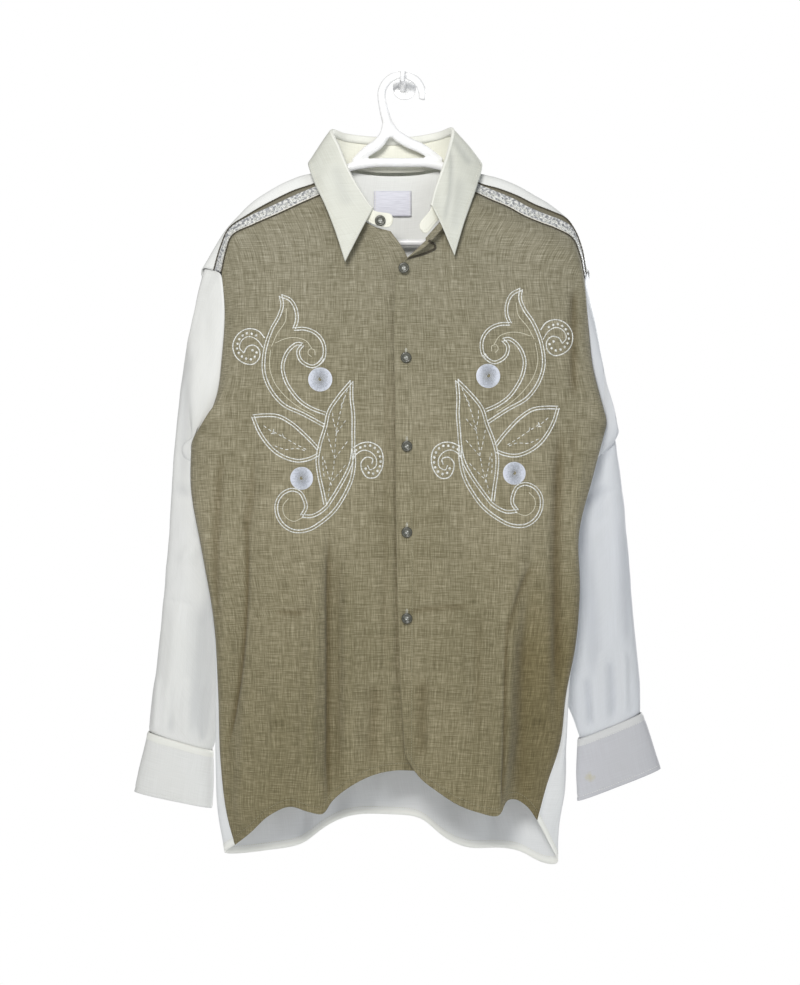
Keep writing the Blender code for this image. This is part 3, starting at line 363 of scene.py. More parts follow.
# Dotted curls. Each: outer line, inner line, line of dots
CURLS = [
    (
        [(-42, 72), (-49, 80), (-61, 83), (-73, 77), (-79, 65), (-76, 52), (-65, 43), (-55, 42), (-48, 49),
         (-48, 58), (-55, 64), (-62, 62), (-66, 55)],
        [(-44, 61), (-51, 70), (-61, 74), (-69, 69), (-71, 61), (-66, 55)],
        [(-52, 75), (-62, 78), (-72, 70), (-74, 60), (-67, 50), (-56, 48), (-51, 55), (-56, 58)],
    ),
    (
        [(60, -54), (69, -49), (79, -48), (90, -54), (94, -67), (92, -79), (85, -88), (76, -88), (70, -80),
         (69, -71), (75, -65), (82, -67), (81, -73)],
        [(60, -67), (64, -61), (72, -57), (81, -60), (86, -67), (85, -76), (79, -79), (76, -74)],
        [(63, -57), (70, -53), (80, -52), (89, -60), (91, -70), (88, -80), (79, -84), (74, -78)],
    ),
]
OUTLINES = [
    SCROLL, FLAME, HOOK_OUT, HOOK_IN, BODY_IN, LEAF_LEFT, LEAF_RIGHT, SWEEP, SWEEP_IN, SIDE_UP, SIDE_LOW,
]
# The turned neck edge of the left front: a dark thread along its roll is a painted shadow line. Columns: x, z
NECK_ROLL_SHADOW = [
    (30, -190), (37, -192.5), (38, -196), (31, -201), (16, -207), (-1, -213.5), (-5.5, -219), (-7, -225),
]


def added(name, data):
    """An object of the data, in the scene."""
    thing = bpy.data.objects.new(name, data)
    bpy.context.scene.collection.objects.link(thing)
    return thing


def smooth(x):
    """From 0 to 1 in a soft S."""
    x = np.clip(x, 0.0, 1.0)
    return x * x * (3 - 2 * x)


def unit(rows):
    """Each vector at length 1."""
    return rows / np.maximum(np.linalg.norm(rows, axis=-1, keepdims=True), 1e-9)


def rounded(wave, power):
    """A sine or cosine with its shoulders filled out."""
    return np.sign(wave) * np.abs(wave) ** power


def run_of(line):
    """Running length along a line of points, or along each column of a grid."""
    steps = np.linalg.norm(np.diff(line, axis=0), axis=-1)
    return np.concatenate([np.zeros_like(steps[:1]), np.cumsum(steps, axis=0)])


def read_at(at, places, rows):
    """The rows, which stand at their places, read at other places."""
    return np.stack([np.interp(at, places, column) for column in rows.T], axis=-1)


def curve_through(rows, straight=False):
    """A curve through the rows, smooth or straight from row to row: a function of the share of its chords."""
    points = np.array(rows, float)
    knots = run_of(points)
    knots = knots / knots[-1]
    if straight:
        return lambda share: read_at(share, knots, points)
    gaps = np.diff(knots)[:, None]
    chords = np.diff(points, axis=0) / gaps
    middle = (chords[:-1] * gaps[1:] + chords[1:] * gaps[:-1]) / (gaps[:-1] + gaps[1:])
    slopes = np.concatenate([chords[:1], middle, chords[-1:]])

    def at(share):
        share = np.clip(np.atleast_1d(np.asarray(share, float)), 0.0, 1.0)
        cell = np.clip(np.searchsorted(knots, share, side="right") - 1, 0, len(knots) - 2)
        width = gaps[cell]
        t = (share[:, None] - knots[cell][:, None]) / width
        rise = 3 * t**2 - 2 * t**3
        lean = (t**3 - 2 * t**2 + t) * slopes[cell] + (t**3 - t**2) * slopes[cell + 1]
        return (1 - rise) * points[cell] + rise * points[cell + 1] + lean * width

    return at


def seam_up(side, arm):
    """The whole side of a panel: the side seam up to ARMPIT, then its half of the armhole."""
    side_at, arm_at = curve_through(side), curve_through(arm)

    def at(share):
        upper = arm_at((share - ARMPIT) / (1 - ARMPIT))
        return np.where(share[:, None] <= ARMPIT, side_at(share / ARMPIT), upper)

    return at


def folded(points, folds):
    """Adds each fold to a grid of points, growing from its top."""
    for top_x, top_z, bottom_x, bottom_z, width, push in folds:
        along = (points[..., 2] - top_z) / (bottom_z - top_z)
        line = top_x + np.clip(along, -0.3, 1.3) * (bottom_x - top_x)
        across = (points[..., 0] - line) / width
        points[..., 1] -= push * smooth((along + 0.15) / 0.5) * np.exp(-across * across)


def front_points(centre, hem, side, arm, braid, neck, folds):
    """The grid of one front: rows from hem to top, columns from the centre edge to the side."""
    across = 0.82 * FRONT_ACROSS + 0.18 * np.sin(FRONT_ACROSS * math.pi / 2)
    top_at = curve_through(neck[::-1] + [row[:3] for row in braid][1:])
    start, end = curve_through(centre)(FRONT_UP)[:, None], seam_up(side, arm)(FRONT_UP)[:, None]
    grid = start + (end - start) * across[:, None]
    grid[..., 1] = end[..., 1] + (start[..., 1] - end[..., 1]) * (1 - across**2.6) ** (1 / 2.6)
    bottom_gap, top_gap = curve_through(hem)(across) - grid[0], top_at(across) - grid[-1]
    up = FRONT_UP[:, None]
    for axis in (0, 2):
        grid[..., axis] += (1 - up) * bottom_gap[:, axis] + up * top_gap[:, axis]
    grid[..., 1] += (1 - up) ** 3 * bottom_gap[:, 1] + up**6 * top_gap[:, 1]
    inside = np.clip(np.minimum(across, 1 - across) / 0.12, 0, 1)
    plain = grid[..., 1].copy()
    folded(grid, folds)
    grid[..., 1] = plain + (grid[..., 1] - plain) * inside * np.clip(up / 0.1, 0.25, 1)
    return grid


def back_points(columns, rows):
    """The grid of the back: rows from the hem to the yoke, columns from the wearer's right seam."""
    share = np.linspace(0, 1, columns // 2 + 1) ** 1.5
    across = np.concatenate([share * 0.5, 1 - share[:-1][::-1] * 0.5])
    part = 2 * np.minimum(across, 1 - across)
    up = np.linspace(0, 1, rows + 1)
    right, left = seam_up(SIDE_RIGHT, ARM_BACK_RIGHT)(up), seam_up(SIDE_LEFT, ARM_BACK_LEFT)(up)
    middle = (right[:, :1] + left[:, :1]) / 2
    turn, swell = np.array(SIDE_TURN, float).T, np.array(SWELL, float).T
    up = up[:, None]
    grid = np.empty((rows + 1, len(across), 3))
    for seam, half, inward, column in ((right, across <= 0.5, 1, 1), (left, across > 0.5, -1, 2)):
        out = np.interp(seam[:, 2], swell[0], swell[column])[:, None]
        reach = np.abs(middle - seam[:, :1])
        along = part[half] * (reach + out)
        shift = np.interp(along, turn[0], turn[1]) * out
        grid[:, half, 0] = seam[:, :1] + inward * (part[half] * reach - shift)
        grid[:, half, 1] = BACK_DEPTH + (seam[:, 1:2] - BACK_DEPTH) * np.interp(along, turn[0], turn[2])
    grid[..., 2] = right[:, 2:] + (left[:, 2:] - right[:, 2:]) * across
    bottom_gap = curve_through(HEM_BACK)(across) - grid[0]
    top_gap = curve_through([row[6:] for row in YOKE])(across) - grid[-1]
    for axis, low_power, high_power in ((0, 2, 2), (1, 2, 3), (2, 1, 1)):
        grid[..., axis] += (1 - up) ** low_power * bottom_gap[:, axis] + up**high_power * top_gap[:, axis]
    return grid


def yoke_points(columns, rows):
    """The grid of the yoke: rows from its front and neck edge to its back seam."""
    table = np.array(YOKE, float)
    place = np.linspace(0, len(table) - 1, columns + 1)
    share = np.linspace(0, 1, rows + 1) ** 1.35
    grid = []
    for row in read_at(place, np.arange(len(table)), table):
        behind = row[3:6] + 0.12 * (row[6:9] - row[3:6])
        behind[1:] = row[7] - 2.0, min(row[5] - 19.0, behind[2])
        if row[4] > -20:
            behind = (row[3:6] + row[6:9]) / 2
        grid.append(curve_through([row[0:3], row[3:6], behind, row[6:9]])(share))
    grid = np.stack(grid, axis=1)
    grid[..., 1] = np.minimum(grid[..., 1], YOKE_CLEAR)
    return grid


def sleeve_points(front_arm, back_arm, braid, ridge, rows, around, count, gap):
    """Rings of one sleeve from the armhole to the cuff. Each ring starts at the outer line."""
    half = around // 2
    share = np.linspace(0, 1, half + 1)
    down = np.linspace(1, 0, 40)
    front_at = curve_through([ridge, braid[-1][3:], *curve_through(front_arm)(down)], True)
    back_at = curve_through([ridge, *curve_through(back_arm)(down)], True)
    ring = np.concatenate([front_at(share), back_at(1 - share[1:-1])])[:around]
    angle = np.linspace(0, 2 * math.pi, around, endpoint=False)
    cosine, sine = rounded(np.cos(angle), 0.8), rounded(np.sin(angle), 0.8)
    rings = [ring]
    for row in np.array(rows, float):
        outer, inner, (front_y, back_y, bow) = row[0:3], row[3:6], row[6:9]
        middle = (outer + inner) / 2
        points = middle + np.outer(cosine, (outer - inner) / 2)
        bulge = np.abs(sine)
        points[:, 1] += ((front_y + back_y) / 2 - middle[1]) * bulge + sine * (front_y - back_y) / 2
        points[:, 0] += bow * bulge
        rings.append(points)
    rings = np.array(rings)
    along = unit(np.roll(ring, -1, axis=0) - np.roll(ring, 1, axis=0))

    def square_to_seam(ways):
        return unit(ways - np.sum(ways * along, axis=1, keepdims=True) * along)

    away = square_to_seam(rings[1] - ring)
    outward = square_to_seam(np.array([[math.copysign(1.0, ring[0, 0]), 0.0, 0.0]]))
    near_armpit = np.exp(-(((np.arange(around) - half) / 2.6) ** 2))[:, None]
    away = away * (1 - near_armpit) + outward * near_armpit
    rings[0] = ring + away * gap * (1 + 1.4 * near_armpit)
    rings[0][:, 1] += 2.4 * near_armpit[:, 0]
    return lofted(rings, count + 1)


def lofted(rings, count):
    """Rows of points along smooth curves from ring to ring."""
    down = np.linspace(0, 1, count)
    return np.stack([curve_through(rings[:, k])(down) for k in range(rings.shape[1])], axis=1)


def cuff_points(rows, columns):
    """A band whose ends lie over each other on the wall's side."""
    share = np.linspace(0, 1 + CUFF_OVERLAP, columns + 1)
    angle = share * 2 * math.pi
    front, back = CUFF_DEPTH
    cosine, sine = rounded(-np.sin(angle), 0.75), rounded(-np.cos(angle), 0.75)
    depth = (front + back) / 2 - sine * (back - front) / 2 + np.clip((share - 0.88) / 0.12, 0, 1) * 2.4
    rings = []
    for outer_x, outer_z, inner_x, inner_z in rows:
        x = (outer_x + inner_x) / 2 + cosine * (outer_x - inner_x) / 2
        z = (outer_z + inner_z) / 2 + cosine * (outer_z - inner_z) / 2
        rings.append(np.stack([x, depth, z], axis=1))
    return lofted(np.array(rings), 31)


def between(table, columns, rows):
    """A strip between two lines: rows from the first line to the second."""
    table = np.array(table, float)
    share = np.linspace(0, 1, columns + 1)
    rise = np.linspace(0, 1, rows + 1)[:, None, None]
    return curve_through(table[:, :3])(share) * (1 - rise) + curve_through(table[:, 3:])(share) * rise


def normals_of(points, towards=(0, -1, 0), closed=False):
    """Unit normals of a grid, turned to the side that is seen."""
    across = np.gradient(points, axis=1)
    if closed:
        across = np.roll(points, -1, axis=1) - np.roll(points, 1, axis=1)
    normal = unit(np.cross(across, np.gradient(points, axis=0)))
    return normal * np.sign(np.sum(normal * towards))


def from_middle(points):
    """From the middle of each ring out to its points."""
    return points - points.mean(axis=1, keepdims=True)


def soften(points, times, closed=False):
    """Each point moved towards its neighbours a few times. The outer edges stay."""
    for _ in range(times):
        inner = (np.roll(points, 1, 1) + 2 * points + np.roll(points, -1, 1)) / 4
        if not closed:
            inner[:, (0, -1)] = points[:, (0, -1)]
        points = inner.copy()
        points[1:-1] = (inner[:-2] + 2 * inner[1:-1] + inner[2:]) / 4
    return points


def creased(points, rows, normal, only=1.0):
    """Soft troughs and ridges along lines seen from the front, and how deep each point went in, 0 to 1, for
    painted shade.
    """
    lift = np.zeros(points.shape[:2])
    for x0, z0, x1, z1, width, height, bow in rows:
        run, rise = x1 - x0, z1 - z0
        length = math.hypot(run, rise)
        along = ((points[..., 0] - x0) * run + (points[..., 2] - z0) * rise) / length**2
        across = ((points[..., 0] - x0) * rise - (points[..., 2] - z0) * run) / length
        across = across - bow * (1 - (2 * np.clip(along, 0, 1) - 1) ** 2)
        fade = smooth(along / 0.22 + 0.15) * smooth((1 - along) / 0.22 + 0.15)
        lift += height * fade * np.exp(-((across / width) ** 2))
    lift = lift * only
    return points + normal * lift[..., None], np.clip(-lift / 4.0, 0, 1)


def rippled(points, normal, height, size, stretch=1.0, seed=0.0, only=1.0):
    """An uneven surface: smooth noise along the normal, longer in z than in x by the stretch."""
    found = [
        noise.noise(Vector((x / size + seed, y / size, z / (size * stretch))))
        for x, y, z in points.reshape(-1, 3)
    ]
    lift = np.reshape(found, points.shape[:2]) * height * only
    return points + normal * lift[..., None]


def pressed(points, normal, run, place, depth, width):
    """A narrow groove where the running length passes the place."""
    return points - normal * (depth * np.exp(-(((run - place) / width) ** 2)))[..., None]


def grid_faces(rows, columns, closed=False):
    """Four-cornered faces of a grid whose points run row by row."""
    faces = []
    for r in range(rows - 1):
        for c in range(columns if closed else columns - 1):
            d = (c + 1) % columns
            faces.append((r * columns + c, r * columns + d, (r + 1) * columns + d, (r + 1) * columns + c))
    return faces


def new_piece(name, points, faces, look):
    """A piece that rides on the shirt's one body."""
    mesh = bpy.data.meshes.new(name)
    mesh.from_pydata([tuple(v) for v in (points + FRAME) * MM], [], faces)
    mesh.validate()
    mesh.shade_smooth()
    mesh.materials.append(look)
    thing = added(name, mesh)
    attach(thing, "root")
    return thing


def gathered(name, parts, look):
    """One piece of several closed shapes, each given as points and faces."""
    faces, total = [], 0
    for points, more in parts:
        faces += [tuple(i + total for i in face) for face in more]
        total += len(points)
    return new_piece(name, np.concatenate([points for points, _ in parts]), faces, look)


def marked(thing, name, values):
    """One number at each vertex of a piece, for its material."""
    mark = thing.data.attributes.new(name, "FLOAT", "POINT")
    mark.data.foreach_set("value", np.asarray(values, np.float32).ravel())


def cloth(name, points, look, node, wall=WALL, closed=False, level=False):
    """A thin cloth shell on a grid. Its grain attribute holds the place in the cut cloth, in metres."""
    rows, columns = points.shape[:2]
    thing = new_piece(name, points.reshape(-1, 3), grid_faces(rows, columns, closed), look)
    across, up = run_of(points.swapaxes(0, 1)).T, run_of(points)
    place = np.zeros((rows, columns, 3))
    place[..., 0] = across - (across[:, -1:] / 2 if level else 0)
    place[..., 1] = up if closed or level else points[..., 2]
    grain = thing.data.attributes.new("grain", "FLOAT_VECTOR", "POINT")
    grain.data.foreach_set("vector", (place * MM).astype(np.float32).ravel())
    shell = thing.modifiers.new("wall", "SOLIDIFY")
    shell.thickness = wall * MM
    shell.offset = 0.0
    shell.use_even_offset = False
    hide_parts(node)
    return thing


def spaced(line, ways, step):
    """The line and its normals again, at points one step apart."""
    run = run_of(line)
    at = np.linspace(0, run[-1], max(2, int(run[-1] / step)) + 1)
    return read_at(at, run, line), unit(read_at(at, run, ways))


def swept(line, ways, wide, high, sides=6):
    """A closed thread along a line: an oval section, wide across the cloth and high off it."""
    line = np.asarray(line, float)
    ways = np.broadcast_to(ways, line.shape)
    sidewise = unit(np.cross(unit(np.gradient(line, axis=0)), ways))
    wide, high = (np.broadcast_to(size, len(line))[:, None] for size in (wide, high))
    turns = [2 * math.pi * k / sides for k in range(sides)]
    rings = [line + sidewise * wide * math.cos(turn) + ways * high * math.sin(turn) for turn in turns]
    count = len(line) * sides
    ends = [tuple(range(sides))[::-1], tuple(range(count - sides, count))]
    return np.stack(rings, axis=1).reshape(-1, 3), grid_faces(len(line), sides, True) + ends


def knot(place, way, radius, high):
    """A small round stitch: a low dome with a closed foot."""
    side = unit(np.cross(way, (0.0, 0.0, 1.0)))
    up = np.cross(side, way)
    points = []
    for size, level in ((1.0, -0.2), (0.85, 0.55), (0.45, 0.95)):
        for angle in np.arange(8) * math.pi / 4:
            offset = (side * math.cos(angle) + up * math.sin(angle)) * radius * size
            points.append(place + offset + way * high * level)
    return np.array(points), grid_faces(3, 8, True) + [tuple(range(8))[::-1], tuple(range(16, 24))]


def edge_line(points, normal, edge, inset, start, end):
    """The line at a distance in from one edge of a grid, with its normals."""
    turned = {
        "first row": lambda grid: grid, "last row": lambda grid: grid[::-1],
        "first column": lambda grid: grid.swapaxes(0, 1),
        "last column": lambda grid: grid[:, ::-1].swapaxes(0, 1),
    }[edge]
    run, last = run_of(turned(points)), turned(points).shape[1] - 1
    found = range(int(start * last), int(round(end * last)) + 1)
    line, ways = ([read_at(inset, run[:, c], turned(rows)[:, c]) for c in found] for rows in (points, normal))
    return np.array(line), np.array(ways)


def stitched(name, rows, look, pitch=2.9, off=WALL / 2):
    """Rows of separate stitches near the edges of grids. Each stitch dips into the cloth at both ends."""
    parts = []
    for row in rows:
        line, ways = spaced(*edge_line(*row), pitch)
        for first, last, up in zip(line, line[1:], ways):
            a, b = first + (last - first) * STITCH_OPEN, last - (last - first) * STITCH_OPEN
            dots = np.array([a, a * 0.75 + b * 0.25, a * 0.25 + b * 0.75, b])
            dots = dots + up * (off + STITCH_DIP * np.array([[-1], [1], [1], [-1]]))
            parts.append(swept(dots, up, [0.16, 0.32, 0.32, 0.16], 0.28, 5))
    return gathered(name, parts, look)


class Look:
    """A material under construction: short names for its nodes and links."""

    def __init__(self, name, colour, roughness):
        self.material = bpy.data.materials.new(name)
        self.material.use_nodes = True
        self.material.diffuse_color = (*colour, 1.0)
        self.tree = self.material.node_tree
        self.shader = self.tree.nodes["Principled BSDF"]
        self.feed(self.shader, {"Base Color": colour, "Roughness": roughness})

    def feed(self, node, values):
        """Gives inputs of a node a number, a colour, a vector or the output of another node."""
        for key, value in values.items():
            socket = node.inputs[key]
            if isinstance(value, bpy.types.NodeSocket):
                self.tree.links.new(value, socket)
            else:
                socket.default_value = (*value, 1.0) if socket.type == "RGBA" else value

    def node(self, kind, values, **settings):
        made = self.tree.nodes.new("ShaderNode" + kind)
        for key, value in settings.items():
            setattr(made, key, value)
        self.feed(made, values)
        return made

    def mark(self, name, output="Fac"):
        return self.node("Attribute", {}, attribute_name=name).outputs[output]

    def place(self):
        return self.node("TexCoord", {}).outputs["Object"]

    def axes(self, vector):
        return self.node("SeparateXYZ", {0: vector}).outputs[:3]

    def noise(self, vector, scale, detail=2.0, roughness=0.5):
        mapped = self.node("Mapping", {"Vector": vector, "Scale": scale}).outputs["Vector"]
        values = {"Vector": mapped, "Scale": 1.0, "Detail": detail, "Roughness": roughness}
        return self.node("TexNoise", values).outputs["Fac"]

    def maths(self, operation, *values):
        return self.node("Math", dict(enumerate(values)), operation=operation).outputs[0]

    def times(self, first, second):
        return self.maths("MULTIPLY", first, second)

    def plus(self, first, second):
        return self.maths("ADD", first, second)

    def ramp(self, factor, *stops):
        made = self.node("ValToRGB", {"Fac": factor})
        elements = made.color_ramp.elements
        while len(elements) < len(stops):
            elements.new(0.5)
        for element, (position, colour) in zip(elements, stops):
            element.position = position
            element.color = (*colour, 1.0)
        return made.outputs["Color"]

    def step(self, factor, black, white):
        """Black at the first place, white at the second."""
        return self.ramp(factor, *sorted([(black, (0, 0, 0)), (white, (1, 1, 1))]))

    def mix(self, factor, first, second, kind="MIX"):
        values = {0: factor, 6: first, 7: second}
        return self.node("Mix", values, data_type="RGBA", blend_type=kind).outputs[2]

    def shaded(self, first, second):
        """One colour multiplied by another."""
        return self.mix(1.0, first, second, "MULTIPLY")

    def yarns(self, grain, pitch):
        """Over and under of a plain weave: two crossed waves, one for each set of yarns."""
        waves = [self.maths("SINE", self.times(way, 2 * math.pi / pitch)) for way in self.axes(grain)[:2]]
        return self.times(*waves)

    def done(self, colour, height, strength, distance, **gloss):
        """The finished material: its colour, bump and gloss."""
        bump = self.node("Bump", {"Strength": strength, "Distance": distance, "Height": height})
        self.feed(self.shader, {"Base Color": colour, "Normal": bump.outputs["Normal"]})
        self.feed(self.shader, {GLOSS[key]: value for key, value in gloss.items()})
        return self.material


GLOSS = {
    "sheen": "Sheen Weight", "sheen_roughness": "Sheen Roughness", "specular": "Specular IOR Level",
    "coat": "Coat Weight", "coat_roughness": "Coat Roughness",
}


def olive_look():
    """Slubby khaki plain weave: uneven light and dark yarns, darker and yellower low down, painted shade in
    creases.
    """
    look = Look("olive_weave", (0.27, 0.25, 0.16), 0.88)
    grain = look.mark("grain", "Vector")
    layers = ((1250, 56, 0.6, 0.60), (50, 1150, 0.6, 0.56), (520, 7, 0.5, 0.22), (9, 500, 0.5, 0.12))
    both = 0.0
    for across, up, roughness, share in layers:
        both = look.plus(both, look.times(look.noise(grain, (across, up, 1), 2.0, roughness), share))
    both = look.times(both, 0.667)
    dark, middle, light = (0.135, 0.121, 0.072), (0.258, 0.236, 0.158), (0.45, 0.422, 0.322)
    woven = look.ramp(both, (0.37, dark), (0.50, middle), (0.63, light))
    cloudy = look.noise(grain, (8, 5, 1), 3.0, 0.6)
    tint = look.ramp(cloudy, (0.3, (0.86, 0.86, 0.82)), (0.7, (1.07, 1.07, 1.09)))
    x, _, z = look.axes(look.place())
    drop = look.times(z, -1.0)
    # Darker towards the bottom: a little darker and bluer high up, darker and yellower near the hem and in a
    # patch low on the wearer's left.
    tone_by_height = look.ramp(drop, (0.2, (0.93, 0.93, 0.95)), (0.5, (1.0, 0.97, 0.91)), (0.86, (0.84, 0.79, 0.64)))
    low_left_patch = look.times(look.step(drop, 0.55, 0.68), look.step(look.times(x, 3.0), 0.34, 0.41))
    tone_low_down = look.mix(low_left_patch, tone_by_height, (0.71, 0.64, 0.46))
    # Painted shade: darker where the cloth sinks into a crease trough.
    painted_crease_shade = look.ramp(look.mark("fold"), (0.1, (1, 1, 1)), (0.9, (0.62, 0.57, 0.48)))
    colour = look.shaded(look.shaded(woven, tint), look.shaded(tone_low_down, painted_crease_shade))
    height = look.plus(look.times(look.yarns(grain, pitch=0.0011), 0.1), both)
    return look.done(colour, height, 0.55, 0.0004, sheen=0.1, sheen_roughness=0.6, specular=0.25)


def cream_look(name, colour, shade, stain=None):
    """Fine plain weave with a soft gloss and painted shade in its creases. A stain is a spot at x, y, z with
    a radius in metres.
    """
    look = Look(name, colour, 0.58)
    grain = look.mark("grain", "Vector")
    yarns = [look.noise(grain, scale) for scale in ((1500, 26, 1), (30, 1300, 1))]
    both = look.times(look.plus(*yarns), 0.5)
    cloudy = look.noise(grain, (7, 5, 1), 3.0, 0.55)
    tint = look.ramp(cloudy, (0.3, (0.965, 0.965, 0.945)), (0.7, (1.0, 1.0, 1.0)))
    final = look.shaded(look.ramp(both, (0.35, shade), (0.6, colour)), tint)
    if stain:
        away = look.node("VectorMath", {0: look.place(), 1: stain[:3]}, operation="DISTANCE").outputs["Value"]
        blurred = look.plus(away, look.times(look.noise(look.place(), (300, 300, 300)), 0.006))
        spot = look.step(look.times(blurred, 0.5 / stain[3]), 0.75, 0.35)
        final = look.mix(look.times(spot, 0.75), final, (0.52, 0.46, 0.22))
    # Painted shade: darker where the cloth sinks into a crease trough.
    painted_crease_shade = look.ramp(look.mark("fold"), (0.05, (1, 1, 1)), (0.95, (0.85, 0.855, 0.87)))
    final = look.mix(look.mark("hem"), look.shaded(final, painted_crease_shade), (0.87, 0.87, 0.81))
    height = look.plus(look.times(look.yarns(grain, pitch=0.0007), 0.06), both)
    return look.done(final, height, 0.25, 0.0002, sheen=0.25, sheen_roughness=0.4, specular=0.4)


def braid_look():
    """Cream ribbon mottled with silver grey, with a cream lower border and a brown strip at its top."""
    look = Look("woven_braid", (0.62, 0.61, 0.56), 0.5)
    grain = look.mark("grain", "Vector")
    blotch = look.noise(grain, (330, 330, 1), 2.0, 0.6)
    twill = look.noise(grain, (1300, 900, 1), 2.0, 0.6)
    both = look.plus(look.times(blotch, 0.8), look.times(twill, 0.2))
    dark, middle, light = (0.22, 0.225, 0.235), (0.42, 0.43, 0.44), (0.76, 0.755, 0.72)
    mottled = look.ramp(both, (0.42, dark), (0.50, middle), (0.57, light))
    height = look.times(look.axes(grain)[1], 50.0)
    brown = look.ramp(twill, (0.35, (0.10, 0.09, 0.06)), (0.6, (0.20, 0.18, 0.125)))
    bordered = look.mix(look.step(height, 0.12, 0.09), mottled, (0.84, 0.81, 0.72))
    return look.done(look.mix(look.step(height, 0.66, 0.69), bordered, brown), both, 0.5, 0.0003, sheen=0.2)


def thread_look(name, colour, dark, roughness, scale=1400.0):
    """Twisted thread: fine fibres, uneven in shade."""
    look = Look(name, colour, roughness)
    fibres = look.noise(look.place(), (scale, scale, scale), 3.0, 0.6)
    shades = look.ramp(fibres, (0.35, dark), (0.6, colour))
    return look.done(shades, fibres, 0.5, 0.0002, sheen=0.3, sheen_roughness=0.35, specular=0.6)


def satin_look():
    """Bluish silver satin thread with a painted sheen: brighter towards the sides of each disc, duller in the
    middle.
    """
    look = Look("satin_disc_thread", (0.66, 0.69, 0.77), 0.32)
    fibres = look.noise(look.place(), (520, 520, 520), 3.0, 0.65)
    both = look.times(look.plus(look.times(look.mark("painted_disc_sheen"), 0.7), fibres), 0.5)
    dark, middle, light = (0.38, 0.40, 0.45), (0.54, 0.57, 0.63), (0.76, 0.79, 0.87)
    shades = look.ramp(both, (0.30, dark), (0.44, middle), (0.55, light))
    return look.done(shades, fibres, 0.6, 0.0003, sheen=0.3, specular=0.7)


def plastic_look():
    """Glossy white moulded plastic with faint scuffs and a slight waviness."""
    look = Look("white_plastic", (0.95, 0.95, 0.96), 0.22)
    place = look.place()
    scuffs = look.noise(place, (90, 90, 260), 5.0, 0.65)
    rough = look.node("MapRange", {"Value": scuffs, "To Min": 0.14, "To Max": 0.36})
    look.feed(look.shader, {"Roughness": rough.outputs["Result"]})
    shades = look.ramp(scuffs, (0.4, (0.92, 0.92, 0.915)), (0.56, (0.96, 0.96, 0.97)))
    return look.done(shades, look.noise(place, (60, 60, 60)), 0.12, 0.0006, coat=0.3, coat_roughness=0.12)


def pearl_look():
    """Grey-olive pearly resin: cloudy layers, lighter in the dish, dark on the rim; the darkest rings, in the
    dish's corner and at the rim's foot, are painted shade.
    """
    look = Look("pearl_button", (0.2, 0.2, 0.16), 0.24)
    layers = look.noise(look.place(), (260, 260, 520), 4.0, 0.6)
    # Painted shade: the darkest rings, where the dish meets the rim and at the rim's foot.
    rings = look.ramp(
        look.mark("reach"), (0.0, (0.34, 0.35, 0.31)), (0.34, (0.24, 0.245, 0.21)),
        (0.5, (0.075, 0.075, 0.058)), (0.78, (0.11, 0.11, 0.088)), (0.93, (0.06, 0.06, 0.045)))
    cloud = look.ramp(layers, (0.3, (0.72, 0.72, 0.70)), (0.7, (1.15, 1.15, 1.2)))
    return look.done(look.shaded(rings, cloud), layers, 0.15, 0.0003, coat=0.25, coat_roughness=0.2)


def label_look():
    """Plain woven satin tape, pale lilac grey."""
    look = Look("plain_label", (0.72, 0.72, 0.80), 0.5)
    ribs = look.noise(look.mark("grain", "Vector"), (60, 1800, 1))
    shades = look.ramp(ribs, (0.35, (0.60, 0.60, 0.68)), (0.6, (0.76, 0.76, 0.84)))
    return look.done(shades, ribs, 0.3, 0.0002, sheen=0.4)


OLIVE = olive_look()
CREAM = cream_look("cream_cotton", (0.82, 0.825, 0.815), (0.76, 0.765, 0.75))
# The back: the cream cotton in a slightly darker, bluish copy, which is painted shade.
SHADED = cream_look("back_cotton_bluish_shade", (0.80, 0.813, 0.827), (0.74, 0.752, 0.763))
# The wearer's left sleeve: the cream cotton in a darker, bluish copy, which is painted shade.
PAINTED_SHADE_BLUE = cream_look("shaded_cotton", (0.70, 0.72, 0.76), (0.65, 0.67, 0.70))
SPOT = (0.2150, -0.036, -0.8235, 0.0075)
# The wearer's left cuff: the cream cotton in a darker, bluish copy, which is painted shade, with a real stain
# at SPOT.
STAINED_AND_SHADED = cream_look("stained_cotton_bluish_shade", (0.585, 0.59, 0.625), (0.545, 0.545, 0.575), SPOT)
BAND = cream_look("band_cotton", (0.85, 0.845, 0.755), (0.79, 0.785, 0.69))
COLLAR = cream_look("collar_cotton", (0.68, 0.69, 0.63), (0.60, 0.605, 0.54))
BRAID = braid_look()
SILVER = thread_look("silver_thread", (0.88, 0.89, 0.86), (0.47, 0.47, 0.42), 0.36, 420.0)
SATIN = satin_look()
TAN = thread_look("tan_thread", (0.70, 0.67, 0.53), (0.48, 0.45, 0.33), 0.6)
# Dark thread for the pipings, which are dark, and for the painted shadow line along the neck roll.
DARK = thread_look("dark_piping", (0.065, 0.054, 0.03), (0.028, 0.022, 0.012), 0.75, 900.0)
SEWING = thread_look("cream_sewing_thread", (0.80, 0.79, 0.70), (0.60, 0.58, 0.48), 0.55)
BOUND = thread_look("buttonhole_thread", (0.68, 0.67, 0.58), (0.46, 0.45, 0.36), 0.5)
BRIGHT = thread_look("bright_thread", (0.86, 0.87, 0.84), (0.66, 0.66, 0.62), 0.45)
OLIVE_SEWING = thread_look("olive_sewing_thread", (0.36, 0.34, 0.23), (0.2, 0.18, 0.1), 0.6)
PEARL = pearl_look()
LABEL = label_look()
WHITE = plastic_look()

